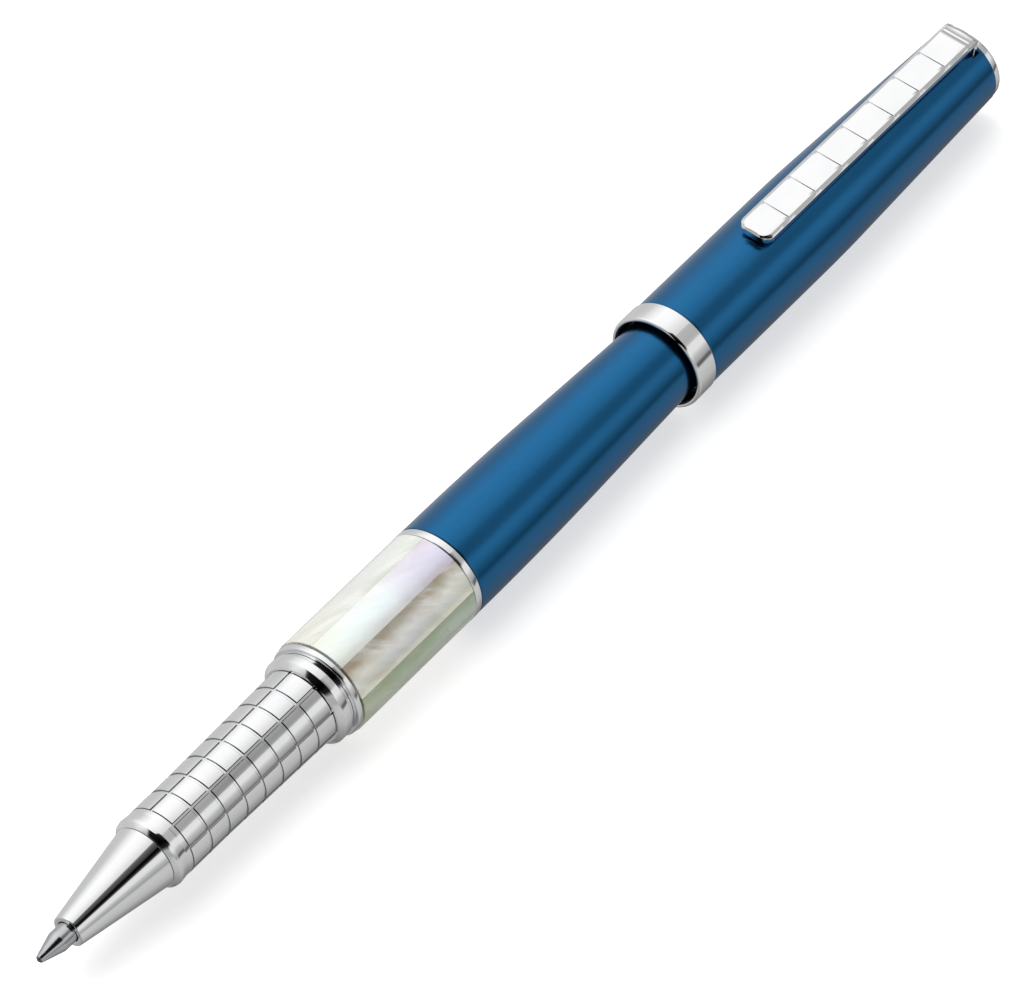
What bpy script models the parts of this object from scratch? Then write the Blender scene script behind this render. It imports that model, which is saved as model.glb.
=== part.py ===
"""A capped rollerball pen with its cap posted on the rear of the barrel.

The pen lies along X: its writing tip points to -X, the cap's closed end to +X and the clip up, +Z.
The origin is under the middle of the pen, level with the lowest point of the cap's lip ring.
Stations are distances from the front of the writing ball, measured towards the cap's end.
"""

import math

import bmesh
import bpy

MM = 0.001

# Whole pen
LENGTH = 168.5 * MM
LIP_RADIUS = 6.2 * MM
AXIS_HEIGHT = LIP_RADIUS
MODEL_NAME = "rollerball_pen"

# Clearances and turning resolution
FIT_GAP = 0.05 * MM
LOOSE_GAP = 0.1 * MM
VISIBLE_STEPS = 32
INNER_STEPS = 24
MERGE_DISTANCE = 1e-6

# Refill
BALL_RADIUS = 0.35 * MM
BALL_RIM = 0.2 * MM
RIM_RADIUS = 0.42 * MM
SOCKET_GAP = 0.03 * MM
RIM_GAP = 0.005 * MM
TIP_CONE_END = 3.1 * MM
TIP_RADIUS = 1.25 * MM
TIP_REAR = 12.0 * MM
INK_CHANNEL = 0.2 * MM
HOLDER_FRONT = 9.5 * MM
HOLDER_RADIUS = 1.75 * MM
HOLDER_SHOULDER = 16.4 * MM
HOLDER_REAR = 19.0 * MM
HOLDER_BORE = 0.4 * MM
INK_FRONT = 19.2 * MM
INK_REAR = 103.5 * MM
TUBE_FRONT = 17.0 * MM
TUBE_REAR = 107.5 * MM
TUBE_RADIUS = 3.0 * MM
TUBE_BORE = 2.6 * MM
PLUG_FRONT = 104.0 * MM
REFILL_REAR = 110.5 * MM
NIPPLE_REAR = 111.8 * MM
NIPPLE_RADIUS = 1.45 * MM
NIPPLE_TAPER = 0.2 * MM

# Refill spring
SPRING_FRONT = 110.6 * MM
SPRING_REAR = 115.3 * MM
SPRING_RADIUS = 2.1 * MM
SPRING_WIRE = 0.22 * MM
SPRING_TURNS = 5
SPRING_FLAT_TURNS = 1.0
SPRING_FLAT_PITCH = 2.3 * SPRING_WIRE
SPRING_POINTS_PER_TURN = 14
STOP_STUD_FRONT = 114.2 * MM
STOP_RADIUS = 3.7 * MM
STOP_REAR = 116.7 * MM

# Writing section
MOUTH = 4.78 * MM
MOUTH_RADIUS = 1.93 * MM
MOUTH_EDGE = 0.15 * MM
POINT_GAP = 0.09 * MM
NOSE_STEP = 16.3 * MM
NOSE_REAR = 17.2 * MM
NOSE_REAR_RADIUS = 3.92 * MM
NOSE_SPIGOT_REAR = 20.4 * MM
COLLAR_REAR = 19.9 * MM
COLLAR_FRONT_RADIUS = 4.12 * MM
BEAD_FRONT_RADIUS = 4.37 * MM
BEAD = 18.1 * MM
BEAD_RADIUS = 4.51 * MM
BEAD_REAR = 18.7 * MM
BEAD_REAR_RADIUS = 4.46 * MM
WAIST = 19.3 * MM
WAIST_RADIUS = 4.39 * MM
GRIP_FRONT = 19.95 * MM
PAD_PITCH = 2.925 * MM
PAD_ROWS = 8
GRIP_REAR = GRIP_FRONT + PAD_ROWS * PAD_PITCH - FIT_GAP
GRIP_RADIUS = 4.42 * MM
GRIP_FLARE_START = 26.0 * MM
GRIP_FLARE = 0.0185
GROOVE_WIDTH = 0.4 * MM
GROOVE_DEPTH = 0.14 * MM
SECTION_SEAT = 3.6 * MM
SECTION_BORE = 3.15 * MM
SNAP_FRONT = 43.35 * MM
SNAP_REAR = 45.1 * MM
SNAP_RADIUS = 5.62 * MM
SNAP_FRONT_RADIUS = 5.1 * MM
SNAP_CHAMFER = 0.5 * MM
SNAP_EDGE = 0.1 * MM
SNAP_NECK_RADIUS = 5.25 * MM
RING_FRONT = 45.7 * MM
RING_REAR = 46.55 * MM
RING_RADIUS = 5.95 * MM
RING_EDGE = 0.2 * MM
SECTION_TUBE_FRONT = 20.5 * MM
THREAD_FRONT = 47.3 * MM
THREAD_REAR = 56.0 * MM
THREAD_RADIUS = 4.4 * MM
THREAD_CHAMFER = 0.4 * MM
THREAD_GAP = 0.06 * MM

# Pearl band and barrel
BAND_FRONT = 46.65 * MM
BAND_REAR = 66.0 * MM
BAND_RADIUS = 6.1 * MM
STAVES = 9
STAVE_THICKNESS = 0.68 * MM
STAVE_STEPS = 6
STAVE_JOINT_DEG = 0.4
FIRST_JOINT_DEG = -14.0
TRIM_FRONT = 66.08 * MM
TRIM_REAR = 67.08 * MM
TRIM_RADIUS = 6.12 * MM
TRIM_EDGE = 0.14 * MM
LINER_RADIUS = 5.36 * MM
LINER_TAIL_RADIUS = 5.2 * MM
LINER_REAR = 75.0 * MM
LINER_BORE = 4.9 * MM
BUSHING_FRONT = 46.85 * MM
BUSHING_REAR = 56.5 * MM
BARREL_FRONT = 67.15 * MM
BARREL_REAR = 120.0 * MM
BARREL_RADIUS = 6.09 * MM
BARREL_WALL = 0.84 * MM
BARREL_EDGE = 0.1 * MM
BARREL_BEND_START = 69.0 * MM
BARREL_BEND_END = 89.0 * MM
BARREL_SLOPE = 0.0375
BARREL_CONE_START = 98.0 * MM
BARREL_TIP = 122.0 * MM
END_PLUG_FRONT = 116.8 * MM
END_PLUG_SPIGOT = 3.55 * MM
END_PLUG_FACE = 3.2 * MM
END_PLUG_DOME = [(0.5 * MM, 0.1 * MM), (0.15 * MM, 0.5 * MM)]

# Cap
LIP_FRONT = 106.9 * MM
LIP_REAR = 110.15 * MM
LIP_ROUND = 0.3 * MM
LIP_ROUND_DROP = 0.25 * MM
LIP_REAR_EDGE = 0.1 * MM
LIP_REAR_RADIUS = 6.08 * MM
LIP_BAND_REAR_RADIUS = 6.15 * MM
LIP_BORE = 5.72 * MM
LIP_STEP = 109.4 * MM
LIP_SPIGOT_BORE = 5.2 * MM
CAP_FRONT = 110.2 * MM
CAP_REAR = 167.4 * MM
CAP_RADIUS = 6.03 * MM
CAP_WALL = 0.5 * MM
CAP_BEND_START = 133.0 * MM
CAP_BEND_END = 140.0 * MM
CAP_SLOPE = 0.0325
CAP_EDGE = 0.1 * MM
CAP_CONE_MIDDLE = 154.0 * MM
CAP_LINER_FRONT = 112.6 * MM
CAP_LINER_REAR = 138.0 * MM
CAP_LINER_RADIUS = 5.45 * MM
CAP_LINER_BORE = 4.77 * MM
CAP_LINER_MOUTH = 5.15 * MM
CAP_LINER_GRIP = 115.5 * MM
FINGER_SLOTS = 4
FINGER_SLOT_WIDTH = 0.8 * MM
FINGER_SLOT_LENGTH = 5.0 * MM
DISC_FRONT = 167.45 * MM
DISC_RADIUS = 4.92 * MM
DISC_EDGE = 0.25 * MM
CAP_PLUG_RADIUS = 4.3 * MM
SCREW_RADIUS = 1.1 * MM
SCREW_HOLE = SCREW_RADIUS + LOOSE_GAP
SCREW_HEAD_FRONT = 161.9 * MM
SCREW_HEAD_REAR = 163.5 * MM
SCREW_HEAD_RADIUS = 2.1 * MM
SCREW_HEAD_EDGE = 0.3 * MM
SCREW_REAR = 167.6 * MM
DRIVER_SLOT = (0.7 * MM, 1.6 * MM, 0.25 * MM)

# Clip
CLIP_FRONT = 124.4 * MM
CLIP_REAR = 166.85 * MM
CLIP_TOP = 7.35 * MM
CLIP_THICKNESS = 1.05 * MM
CLIP_WIDTH = 4.45 * MM
CLIP_CORNER = 1.0 * MM
CLIP_BEND = 1.1 * MM
CLIP_INNER_BEND = 0.3 * MM
CLIP_LEG_THICKNESS = 1.0 * MM
CLIP_LEG_FOOT = 4.4 * MM
CLIP_HINGE_STATION = 166.35 * MM
CLIP_HINGE_RADIUS = 4.9 * MM
TANG_FRONT = 165.8 * MM
TANG_REAR = 166.8 * MM
TANG_RADIUS = 4.15 * MM
SLOT_FRONT = 164.9 * MM
SLOT_REAR = 167.0 * MM
SLOT_WIDTH = 4.85 * MM
SLOT_INNER_RADIUS = 3.0 * MM
SLOT_OUTER_RADIUS = 7.0 * MM
PAST = 1.0 * MM


def clear_scene():
    for obj in list(bpy.data.objects):
        bpy.data.objects.remove(obj, do_unlink=True)


def new_collection(name, hidden=False):
    collection = bpy.data.collections.new(name)
    collection.hide_render = hidden
    bpy.context.scene.collection.children.link(collection)
    return collection


clear_scene()
PARTS = new_collection(MODEL_NAME)
CUTTERS = new_collection("cutters", hidden=True)


def material(name, color, roughness, metallic):
    mat = bpy.data.materials.new(name)
    mat.use_nodes = True
    shader = mat.node_tree.nodes["Principled BSDF"]
    shader.inputs["Base Color"].default_value = (*color, 1.0)
    shader.inputs["Roughness"].default_value = roughness
    shader.inputs["Metallic"].default_value = metallic
    return mat


def chrome(name):
    return material(name, (0.82, 0.83, 0.85), 0.06, 1.0)


def steel(name):
    return material(name, (0.55, 0.56, 0.58), 0.2, 1.0)


def brass(name):
    return material(name, (0.78, 0.6, 0.3), 0.25, 1.0)


def blue_lacquer(name):
    return material(name, (0.016, 0.1, 0.26), 0.38, 0.6)


def pearl(name):
    return material(name, (0.84, 0.86, 0.83), 0.18, 0.0)


def plastic(name, color):
    return material(name, color, 0.45, 0.0)


def move_to(obj, collection):
    for owner in list(obj.users_collection):
        owner.objects.unlink(obj)
    collection.objects.link(obj)


def world_x(station):
    return station - LENGTH / 2


def place_on_axis(obj):
    """Turned pieces are drawn round local Z, which is laid along the pen with its foot at the tip."""
    obj.rotation_euler = (0.0, math.radians(90.0), 0.0)
    obj.location = (world_x(0.0), 0.0, AXIS_HEIGHT)


def profile_mesh(name, points, closed):
    """An outline of (station, radius) points as edges in the local XZ plane."""
    vertices = [(radius, 0.0, station) for station, radius in points]
    edges = [(i, i + 1) for i in range(len(points) - 1)]
    if closed:
        edges.append((len(points) - 1, 0))
    mesh = bpy.data.meshes.new(name)
    mesh.from_pydata(vertices, [], edges)
    return mesh


def add_screw(obj, steps):
    screw = obj.modifiers.new("turn", "SCREW")
    screw.axis = "Z"
    screw.steps = steps
    screw.render_steps = steps
    screw.use_merge_vertices = True
    screw.merge_threshold = MERGE_DISTANCE
    screw.use_smooth_shade = True


def turned(name, outer, inner, mat, steps=VISIBLE_STEPS):
    """A turned piece: outer and inner are outlines from front to rear; a solid piece has no inner."""
    if inner:
        points = outer + list(reversed(inner))
    else:
        points = [(outer[0][0], 0.0)] + outer + [(outer[-1][0], 0.0)]
    obj = bpy.data.objects.new(name, profile_mesh(name, points, closed=bool(inner)))
    PARTS.objects.link(obj)
    place_on_axis(obj)
    add_screw(obj, steps)
    obj.data.materials.append(mat)
    return obj


def box(name, low, high, collection):
    """A cube primitive stretched between two opposite corners."""
    bpy.ops.mesh.primitive_cube_add(size=1.0)
    obj = bpy.context.object
    obj.name = name
    size = [h - l for l, h in zip(low, high)]
    for vertex in obj.data.vertices:
        vertex.co = [c * s for c, s in zip(vertex.co, size)]
    obj.location = [(l + h) / 2 for l, h in zip(low, high)]
    move_to(obj, collection)
    return obj


def as_cutter(obj):
    obj.hide_render = True
    obj.display_type = "WIRE"
    return obj


def add_boolean(obj, cutter, operation):
    cut = obj.modifiers.new(cutter.name, "BOOLEAN")
    cut.operation = operation
    cut.solver = "EXACT"
    cut.object = cutter
    return cut


def outline_solid(name, points, half_thickness, rotation, location, collection):
    """A flat outline, drawn in its own XY plane, filled and thickened, as a mesh."""
    curve = bpy.data.curves.new(name, "CURVE")
    curve.dimensions = "2D"
    curve.fill_mode = "BOTH"
    curve.extrude = half_thickness
    spline = curve.splines.new("POLY")
    spline.points.add(len(points) - 1)
    for point, (x, y) in zip(spline.points, points):
        point.co = (x, y, 0.0, 1.0)
    spline.use_cyclic_u = True
    drawn = bpy.data.objects.new(name, curve)
    collection.objects.link(drawn)
    drawn.rotation_euler = rotation
    drawn.location = location
    return mesh_from_curve(drawn, collection)


def mesh_from_curve(drawn, collection):
    """The curve's evaluated surface as a welded mesh object in the same place."""
    bpy.context.view_layer.update()
    name = drawn.name
    evaluated = drawn.evaluated_get(bpy.context.evaluated_depsgraph_get())
    mesh = bpy.data.meshes.new_from_object(evaluated)
    weld_mesh(mesh)
    matrix = drawn.matrix_world.copy()
    bpy.data.objects.remove(drawn, do_unlink=True)
    mesh.name = name
    obj = bpy.data.objects.new(name, mesh)
    collection.objects.link(obj)
    obj.matrix_world = matrix
    return obj


def weld_mesh(mesh):
    bm = bmesh.new()
    bm.from_mesh(mesh)
    bmesh.ops.remove_doubles(bm, verts=bm.verts, dist=MERGE_DISTANCE)
    bmesh.ops.recalc_face_normals(bm, faces=bm.faces)
    bm.to_mesh(mesh)
    bm.free()


def arc(center_x, center_y, radius, start_deg, end_deg, count=6):
    """Points along an arc, both ends included."""
    turn = math.radians(end_deg - start_deg) / (count - 1)
    start = math.radians(start_deg)
    angles = [start + i * turn for i in range(count)]
    return [(center_x + radius * math.cos(a), center_y + radius * math.sin(a)) for a in angles]


def stations(start, end, count):
    return [start + (end - start) * i / (count - 1) for i in range(count)]


def tapered_radius(station, radius, bend_start, bend_end, slope):
    """A cylinder that bends smoothly into a cone of the given slope."""
    if station <= bend_start:
        return radius
    bend = bend_end - bend_start
    if station <= bend_end:
        return radius - slope * (station - bend_start) ** 2 / (2 * bend)
    return radius - slope * (bend / 2 + station - bend_end)


def barrel_radius(station):
    return tapered_radius(station, BARREL_RADIUS, BARREL_BEND_START, BARREL_BEND_END, BARREL_SLOPE)


def cap_radius(station):
    return tapered_radius(station, CAP_RADIUS, CAP_BEND_START, CAP_BEND_END, CAP_SLOPE)


def grip_radius(station):
    return GRIP_RADIUS + GRIP_FLARE * max(0.0, station - GRIP_FLARE_START)


# Refill -----------------------------------------------------------------------------------------


def tip_ball():
    bpy.ops.mesh.primitive_uv_sphere_add(segments=16, ring_count=8, radius=BALL_RADIUS)
    ball = bpy.context.object
    ball.name = "tip_ball"
    ball.location = (world_x(BALL_RADIUS), 0.0, AXIS_HEIGHT)
    ball.data.shade_smooth()
    ball.data.materials.append(material("tip_ball", (0.08, 0.08, 0.09), 0.25, 0.8))
    move_to(ball, PARTS)


def refill_tip():
    """The steel point: a cone and a stub, with the socket that the ball turns in."""
    socket_radius = BALL_RADIUS + SOCKET_GAP
    ball_rear = 2 * BALL_RADIUS
    outer = [
        (BALL_RIM, RIM_RADIUS),
        (TIP_CONE_END, TIP_RADIUS),
        (TIP_REAR, TIP_RADIUS),
    ]
    inner = [
        (BALL_RIM, BALL_RADIUS - RIM_GAP),
        (BALL_RIM + 3 * SOCKET_GAP, socket_radius),
        (ball_rear - 2 * SOCKET_GAP, socket_radius),
        (ball_rear + SOCKET_GAP, INK_CHANNEL),
        (TIP_REAR, INK_CHANNEL),
    ]
    turned("refill_tip", outer, inner, steel("refill_tip"), INNER_STEPS)


def refill_holder():
    """The plastic front of the refill, which holds the point and plugs the tube."""
    outer = [
        (HOLDER_FRONT, HOLDER_RADIUS),
        (HOLDER_SHOULDER, HOLDER_RADIUS),
        (HOLDER_SHOULDER + LOOSE_GAP, TUBE_RADIUS),
        (TUBE_FRONT - FIT_GAP, TUBE_RADIUS),
        (TUBE_FRONT - FIT_GAP, TUBE_BORE - FIT_GAP),
        (HOLDER_REAR, TUBE_BORE - FIT_GAP),
    ]
    inner = [
        (HOLDER_FRONT, TIP_RADIUS + FIT_GAP),
        (TIP_REAR + LOOSE_GAP, TIP_RADIUS + FIT_GAP),
        (TIP_REAR + LOOSE_GAP, HOLDER_BORE),
        (HOLDER_REAR, HOLDER_BORE),
    ]
    turned("refill_holder", outer, inner, plastic("refill_holder", (0.03, 0.03, 0.03)), INNER_STEPS)


def ink_core():
    """The fibre rod that holds the ink."""
    radius = TUBE_BORE - 2 * FIT_GAP
    outer = [(INK_FRONT, radius), (INK_REAR, radius)]
    turned("ink_core", outer, None, plastic("ink_core", (0.02, 0.02, 0.05)), INNER_STEPS)


def refill_tube():
    outer = [(TUBE_FRONT, TUBE_RADIUS), (TUBE_REAR, TUBE_RADIUS)]
    inner = [(TUBE_FRONT, TUBE_BORE), (TUBE_REAR, TUBE_BORE)]
    turned("refill_tube", outer, inner, plastic("refill_tube", (0.7, 0.72, 0.75)), INNER_STEPS)


def refill_plug():
    """Closes the tube, and centres the spring on its nipple."""
    outer = [
        (PLUG_FRONT, TUBE_BORE - FIT_GAP),
        (TUBE_REAR + FIT_GAP, TUBE_BORE - FIT_GAP),
        (TUBE_REAR + FIT_GAP, TUBE_RADIUS),
        (REFILL_REAR, TUBE_RADIUS),
        (REFILL_REAR, NIPPLE_RADIUS),
        (NIPPLE_REAR, NIPPLE_RADIUS - NIPPLE_TAPER),
    ]
    turned("refill_plug", outer, None, plastic("refill_plug", (0.03, 0.03, 0.03)), INNER_STEPS)


def spring_point(turn):
    """A point of the spring's wire; its first and last turns lie flat against their seats."""
    free_turns = SPRING_TURNS - 2 * SPRING_FLAT_TURNS
    front = SPRING_FRONT + SPRING_WIRE
    rear = SPRING_REAR - SPRING_WIRE
    flat_rise = SPRING_FLAT_TURNS * SPRING_FLAT_PITCH
    rise = min(turn, SPRING_FLAT_TURNS) * SPRING_FLAT_PITCH
    rise += max(0.0, turn - SPRING_TURNS + SPRING_FLAT_TURNS) * SPRING_FLAT_PITCH
    free = min(max(turn - SPRING_FLAT_TURNS, 0.0), free_turns)
    rise += free * (rear - front - 2 * flat_rise) / free_turns
    angle = 2 * math.pi * turn
    return (SPRING_RADIUS * math.cos(angle), SPRING_RADIUS * math.sin(angle), front + rise)


def refill_spring():
    count = SPRING_TURNS * SPRING_POINTS_PER_TURN + 1
    curve = bpy.data.curves.new("refill_spring", "CURVE")
    curve.dimensions = "3D"
    curve.bevel_depth = SPRING_WIRE
    curve.bevel_resolution = 2
    curve.use_fill_caps = True
    spline = curve.splines.new("POLY")
    spline.points.add(count - 1)
    for index, point in enumerate(spline.points):
        point.co = (*spring_point(index / SPRING_POINTS_PER_TURN), 1.0)
    obj = bpy.data.objects.new("refill_spring", curve)
    PARTS.objects.link(obj)
    place_on_axis(obj)
    curve.materials.append(steel("refill_spring"))


# Writing section --------------------------------------------------------------------------------


def nose_cone():
    """The front cone: a bore for the refill's point, the seat its shoulder rests on, and a rear spigot."""
    spigot = SECTION_SEAT - FIT_GAP
    outer = [
        (MOUTH, MOUTH_RADIUS - MOUTH_EDGE),
        (MOUTH + MOUTH_EDGE, MOUTH_RADIUS),
        (NOSE_REAR, NOSE_REAR_RADIUS),
        (NOSE_REAR, spigot),
        (NOSE_SPIGOT_REAR, spigot),
    ]
    seat = HOLDER_FRONT - FIT_GAP
    inner = [
        (MOUTH, TIP_RADIUS + POINT_GAP),
        (seat, TIP_RADIUS + POINT_GAP),
        (seat, HOLDER_RADIUS + LOOSE_GAP),
        (NOSE_STEP, HOLDER_RADIUS + LOOSE_GAP),
        (NOSE_STEP, TUBE_RADIUS + LOOSE_GAP),
        (NOSE_SPIGOT_REAR, TUBE_RADIUS + LOOSE_GAP),
    ]
    turned("nose_cone", outer, inner, chrome("nose_cone"))


def front_collar():
    """The bead and waisted band between the nose cone and the grip."""
    front = NOSE_REAR + FIT_GAP
    outer = [
        (front, COLLAR_FRONT_RADIUS),
        (front + BEAD_FRONT_RADIUS - COLLAR_FRONT_RADIUS, BEAD_FRONT_RADIUS),
        (BEAD, BEAD_RADIUS),
        (BEAD_REAR, BEAD_REAR_RADIUS),
        (WAIST, WAIST_RADIUS),
        (COLLAR_REAR, WAIST_RADIUS),
    ]
    inner = [(front, SECTION_SEAT), (COLLAR_REAR, SECTION_SEAT)]
    turned("front_collar", outer, inner, chrome("front_collar"))


def grip_sleeve():
    """The grip, with the ring grooves that divide its rows of pads."""
    outer = [(GRIP_FRONT, grip_radius(GRIP_FRONT))]
    for row in range(1, PAD_ROWS):
        middle = GRIP_FRONT + row * PAD_PITCH
        radius = grip_radius(middle)
        outer.append((middle - GROOVE_WIDTH / 2, radius))
        outer.append((middle, radius - GROOVE_DEPTH))
        outer.append((middle + GROOVE_WIDTH / 2, radius))
    outer.append((GRIP_REAR, grip_radius(GRIP_REAR)))
    inner = [(GRIP_FRONT, SECTION_SEAT), (GRIP_REAR, SECTION_SEAT)]
    turned("grip_sleeve", outer, inner, chrome("grip_sleeve"))


def snap_collar():
    """The chamfered collar that the cap's lip closes over, with the groove behind it."""
    neck_rear = RING_FRONT - FIT_GAP
    outer = [
        (SNAP_FRONT, SNAP_FRONT_RADIUS),
        (SNAP_FRONT + SNAP_CHAMFER, SNAP_RADIUS),
        (SNAP_REAR - SNAP_EDGE, SNAP_RADIUS),
        (SNAP_REAR, SNAP_RADIUS - SNAP_EDGE),
        (SNAP_REAR, SNAP_NECK_RADIUS),
        (neck_rear, SNAP_NECK_RADIUS),
    ]
    inner = [(SNAP_FRONT, SECTION_SEAT), (neck_rear, SECTION_SEAT)]
    turned("snap_collar", outer, inner, chrome("snap_collar"))


def section_ring():
    """The plain ring that faces the pearl band."""
    outer = [
        (RING_FRONT, RING_RADIUS - RING_EDGE),
        (RING_FRONT + RING_EDGE, RING_RADIUS),
        (RING_REAR - RING_EDGE, RING_RADIUS),
        (RING_REAR, RING_RADIUS - RING_EDGE),
    ]
    inner = [(RING_FRONT, SECTION_SEAT), (RING_REAR, SECTION_SEAT)]
    turned("section_ring", outer, inner, chrome("section_ring"))


def section_tube():
    """The brass core of the section, ending in the male thread, modelled at its outer diameter."""
    tube_radius = SECTION_SEAT - FIT_GAP
    outer = [
        (SECTION_TUBE_FRONT, tube_radius),
        (THREAD_FRONT, tube_radius),
        (THREAD_FRONT, THREAD_RADIUS),
        (THREAD_REAR - THREAD_CHAMFER, THREAD_RADIUS),
        (THREAD_REAR, THREAD_RADIUS - THREAD_CHAMFER),
    ]
    inner = [(SECTION_TUBE_FRONT, SECTION_BORE), (THREAD_REAR, SECTION_BORE)]
    turned("section_tube", outer, inner, brass("section_tube"))


# Barrel -----------------------------------------------------------------------------------------


def pearl_stave(index):
    """One curved stave of the pearl band, as its cross-section extruded along the pen."""
    name = f"pearl_stave_{index + 1}"
    width = 360.0 / STAVES
    start = 180.0 + FIRST_JOINT_DEG + index * width + STAVE_JOINT_DEG / 2
    end = start + width - STAVE_JOINT_DEG
    section = arc(0.0, 0.0, BAND_RADIUS, start, end, STAVE_STEPS + 1)
    section += arc(0.0, 0.0, BAND_RADIUS - STAVE_THICKNESS, end, start, STAVE_STEPS + 1)
    across_pen = (0.0, math.radians(90.0), 0.0)
    middle = (world_x((BAND_FRONT + BAND_REAR) / 2), 0.0, AXIS_HEIGHT)
    stave = outline_solid(name, section, (BAND_REAR - BAND_FRONT) / 2, across_pen, middle, PARTS)
    stave.data.materials.append(pearl(name))


def barrel_liner():
    """The brass tube under the pearl band, whose tail is pressed into the barrel."""
    step = BARREL_FRONT - FIT_GAP
    outer = [
        (BAND_FRONT, LINER_RADIUS),
        (step, LINER_RADIUS),
        (step, LINER_TAIL_RADIUS),
        (LINER_REAR, LINER_TAIL_RADIUS),
    ]
    inner = [(BAND_FRONT, LINER_BORE), (LINER_REAR, LINER_BORE)]
    turned("barrel_liner", outer, inner, brass("barrel_liner"))


def barrel_bushing():
    """The bush with the female thread, modelled as a plain bore that clears the male thread."""
    radius = LINER_BORE - FIT_GAP
    bore = THREAD_RADIUS + THREAD_GAP
    outer = [(BUSHING_FRONT, radius), (BUSHING_REAR, radius)]
    inner = [(BUSHING_FRONT, bore), (BUSHING_REAR, bore)]
    turned("barrel_bushing", outer, inner, brass("barrel_bushing"))


def trim_ring():
    """The thin ring between the pearl band and the barrel."""
    outer = [
        (TRIM_FRONT, TRIM_RADIUS - TRIM_EDGE),
        (TRIM_FRONT + TRIM_EDGE, TRIM_RADIUS),
        (TRIM_REAR - TRIM_EDGE, TRIM_RADIUS),
        (TRIM_REAR, TRIM_RADIUS - TRIM_EDGE),
    ]
    inner = [(TRIM_FRONT, LINER_RADIUS + FIT_GAP), (TRIM_REAR, LINER_RADIUS + FIT_GAP)]
    turned("trim_ring", outer, inner, chrome("trim_ring"))


def barrel_shell():
    """The lacquered barrel: a cylinder at the band that bends into a long taper."""
    places = [BARREL_FRONT + BARREL_EDGE]
    places += stations(BARREL_BEND_START, BARREL_BEND_END, 6)
    places += stations(BARREL_CONE_START, BARREL_REAR, 4)
    outer = [(BARREL_FRONT, BARREL_RADIUS - BARREL_EDGE)] + [(s, barrel_radius(s)) for s in places]
    inner = [(BARREL_FRONT, BARREL_RADIUS - BARREL_WALL)]
    inner += [(s, barrel_radius(s) - BARREL_WALL) for s in places[1:]]
    turned("barrel_shell", outer, inner, blue_lacquer("barrel_shell"))


def spring_stop():
    """The seat of the spring: a disc across the barrel with a stud inside the coils."""
    seat = SPRING_REAR + FIT_GAP
    outer = [
        (STOP_STUD_FRONT, NIPPLE_RADIUS - NIPPLE_TAPER),
        (seat, NIPPLE_RADIUS),
        (seat, STOP_RADIUS),
        (STOP_REAR, STOP_RADIUS),
    ]
    turned("spring_stop", outer, None, plastic("spring_stop", (0.1, 0.1, 0.1)), INNER_STEPS)


def barrel_end_plug():
    """The domed plug that closes the barrel's rear."""
    flange = BARREL_REAR + FIT_GAP
    rim = barrel_radius(BARREL_TIP)
    outer = [
        (END_PLUG_FRONT, END_PLUG_SPIGOT),
        (flange, END_PLUG_SPIGOT),
        (flange, barrel_radius(flange)),
    ]
    outer += [(BARREL_TIP - back, rim - drop) for back, drop in END_PLUG_DOME]
    outer.append((BARREL_TIP, END_PLUG_FACE))
    turned("barrel_end_plug", outer, None, chrome("barrel_end_plug"))


# Cap --------------------------------------------------------------------------------------------


def cap_lip_ring():
    """The ring at the cap's mouth, with a thin spigot that is pressed into the cap."""
    spigot_radius = CAP_RADIUS - CAP_WALL - FIT_GAP
    spigot_rear = CAP_LINER_FRONT - FIT_GAP
    outer = [
        (LIP_FRONT, LIP_RADIUS - LIP_ROUND_DROP),
        (LIP_FRONT + LIP_ROUND, LIP_RADIUS),
        (LIP_REAR - LIP_REAR_EDGE, LIP_BAND_REAR_RADIUS),
        (LIP_REAR, LIP_REAR_RADIUS),
        (LIP_REAR, spigot_radius),
        (spigot_rear, spigot_radius),
    ]
    inner = [
        (LIP_FRONT, LIP_BORE + LOOSE_GAP),
        (LIP_FRONT + LOOSE_GAP, LIP_BORE),
        (LIP_STEP, LIP_BORE),
        (LIP_STEP, LIP_SPIGOT_BORE),
        (spigot_rear, LIP_SPIGOT_BORE),
    ]
    turned("cap_lip_ring", outer, inner, chrome("cap_lip_ring"))


def cap_shell():
    """The lacquered cap, with the slot that the clip's leg goes into."""
    places = [CAP_FRONT + CAP_EDGE]
    places += stations(CAP_BEND_START, CAP_BEND_END, 4)
    places += [CAP_CONE_MIDDLE, CAP_REAR]
    outer = [(CAP_FRONT, CAP_RADIUS - CAP_EDGE)] + [(s, cap_radius(s)) for s in places]
    inner = [(CAP_FRONT, CAP_RADIUS - CAP_WALL)]
    inner += [(s, cap_radius(s) - CAP_WALL) for s in places[1:]]
    shell = turned("cap_shell", outer, inner, blue_lacquer("cap_shell"))
    low = (world_x(SLOT_FRONT), -SLOT_WIDTH / 2, AXIS_HEIGHT + SLOT_INNER_RADIUS)
    high = (world_x(SLOT_REAR), SLOT_WIDTH / 2, AXIS_HEIGHT + SLOT_OUTER_RADIUS)
    add_boolean(shell, as_cutter(box("clip_slot", low, high, CUTTERS)), "DIFFERENCE")


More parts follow.
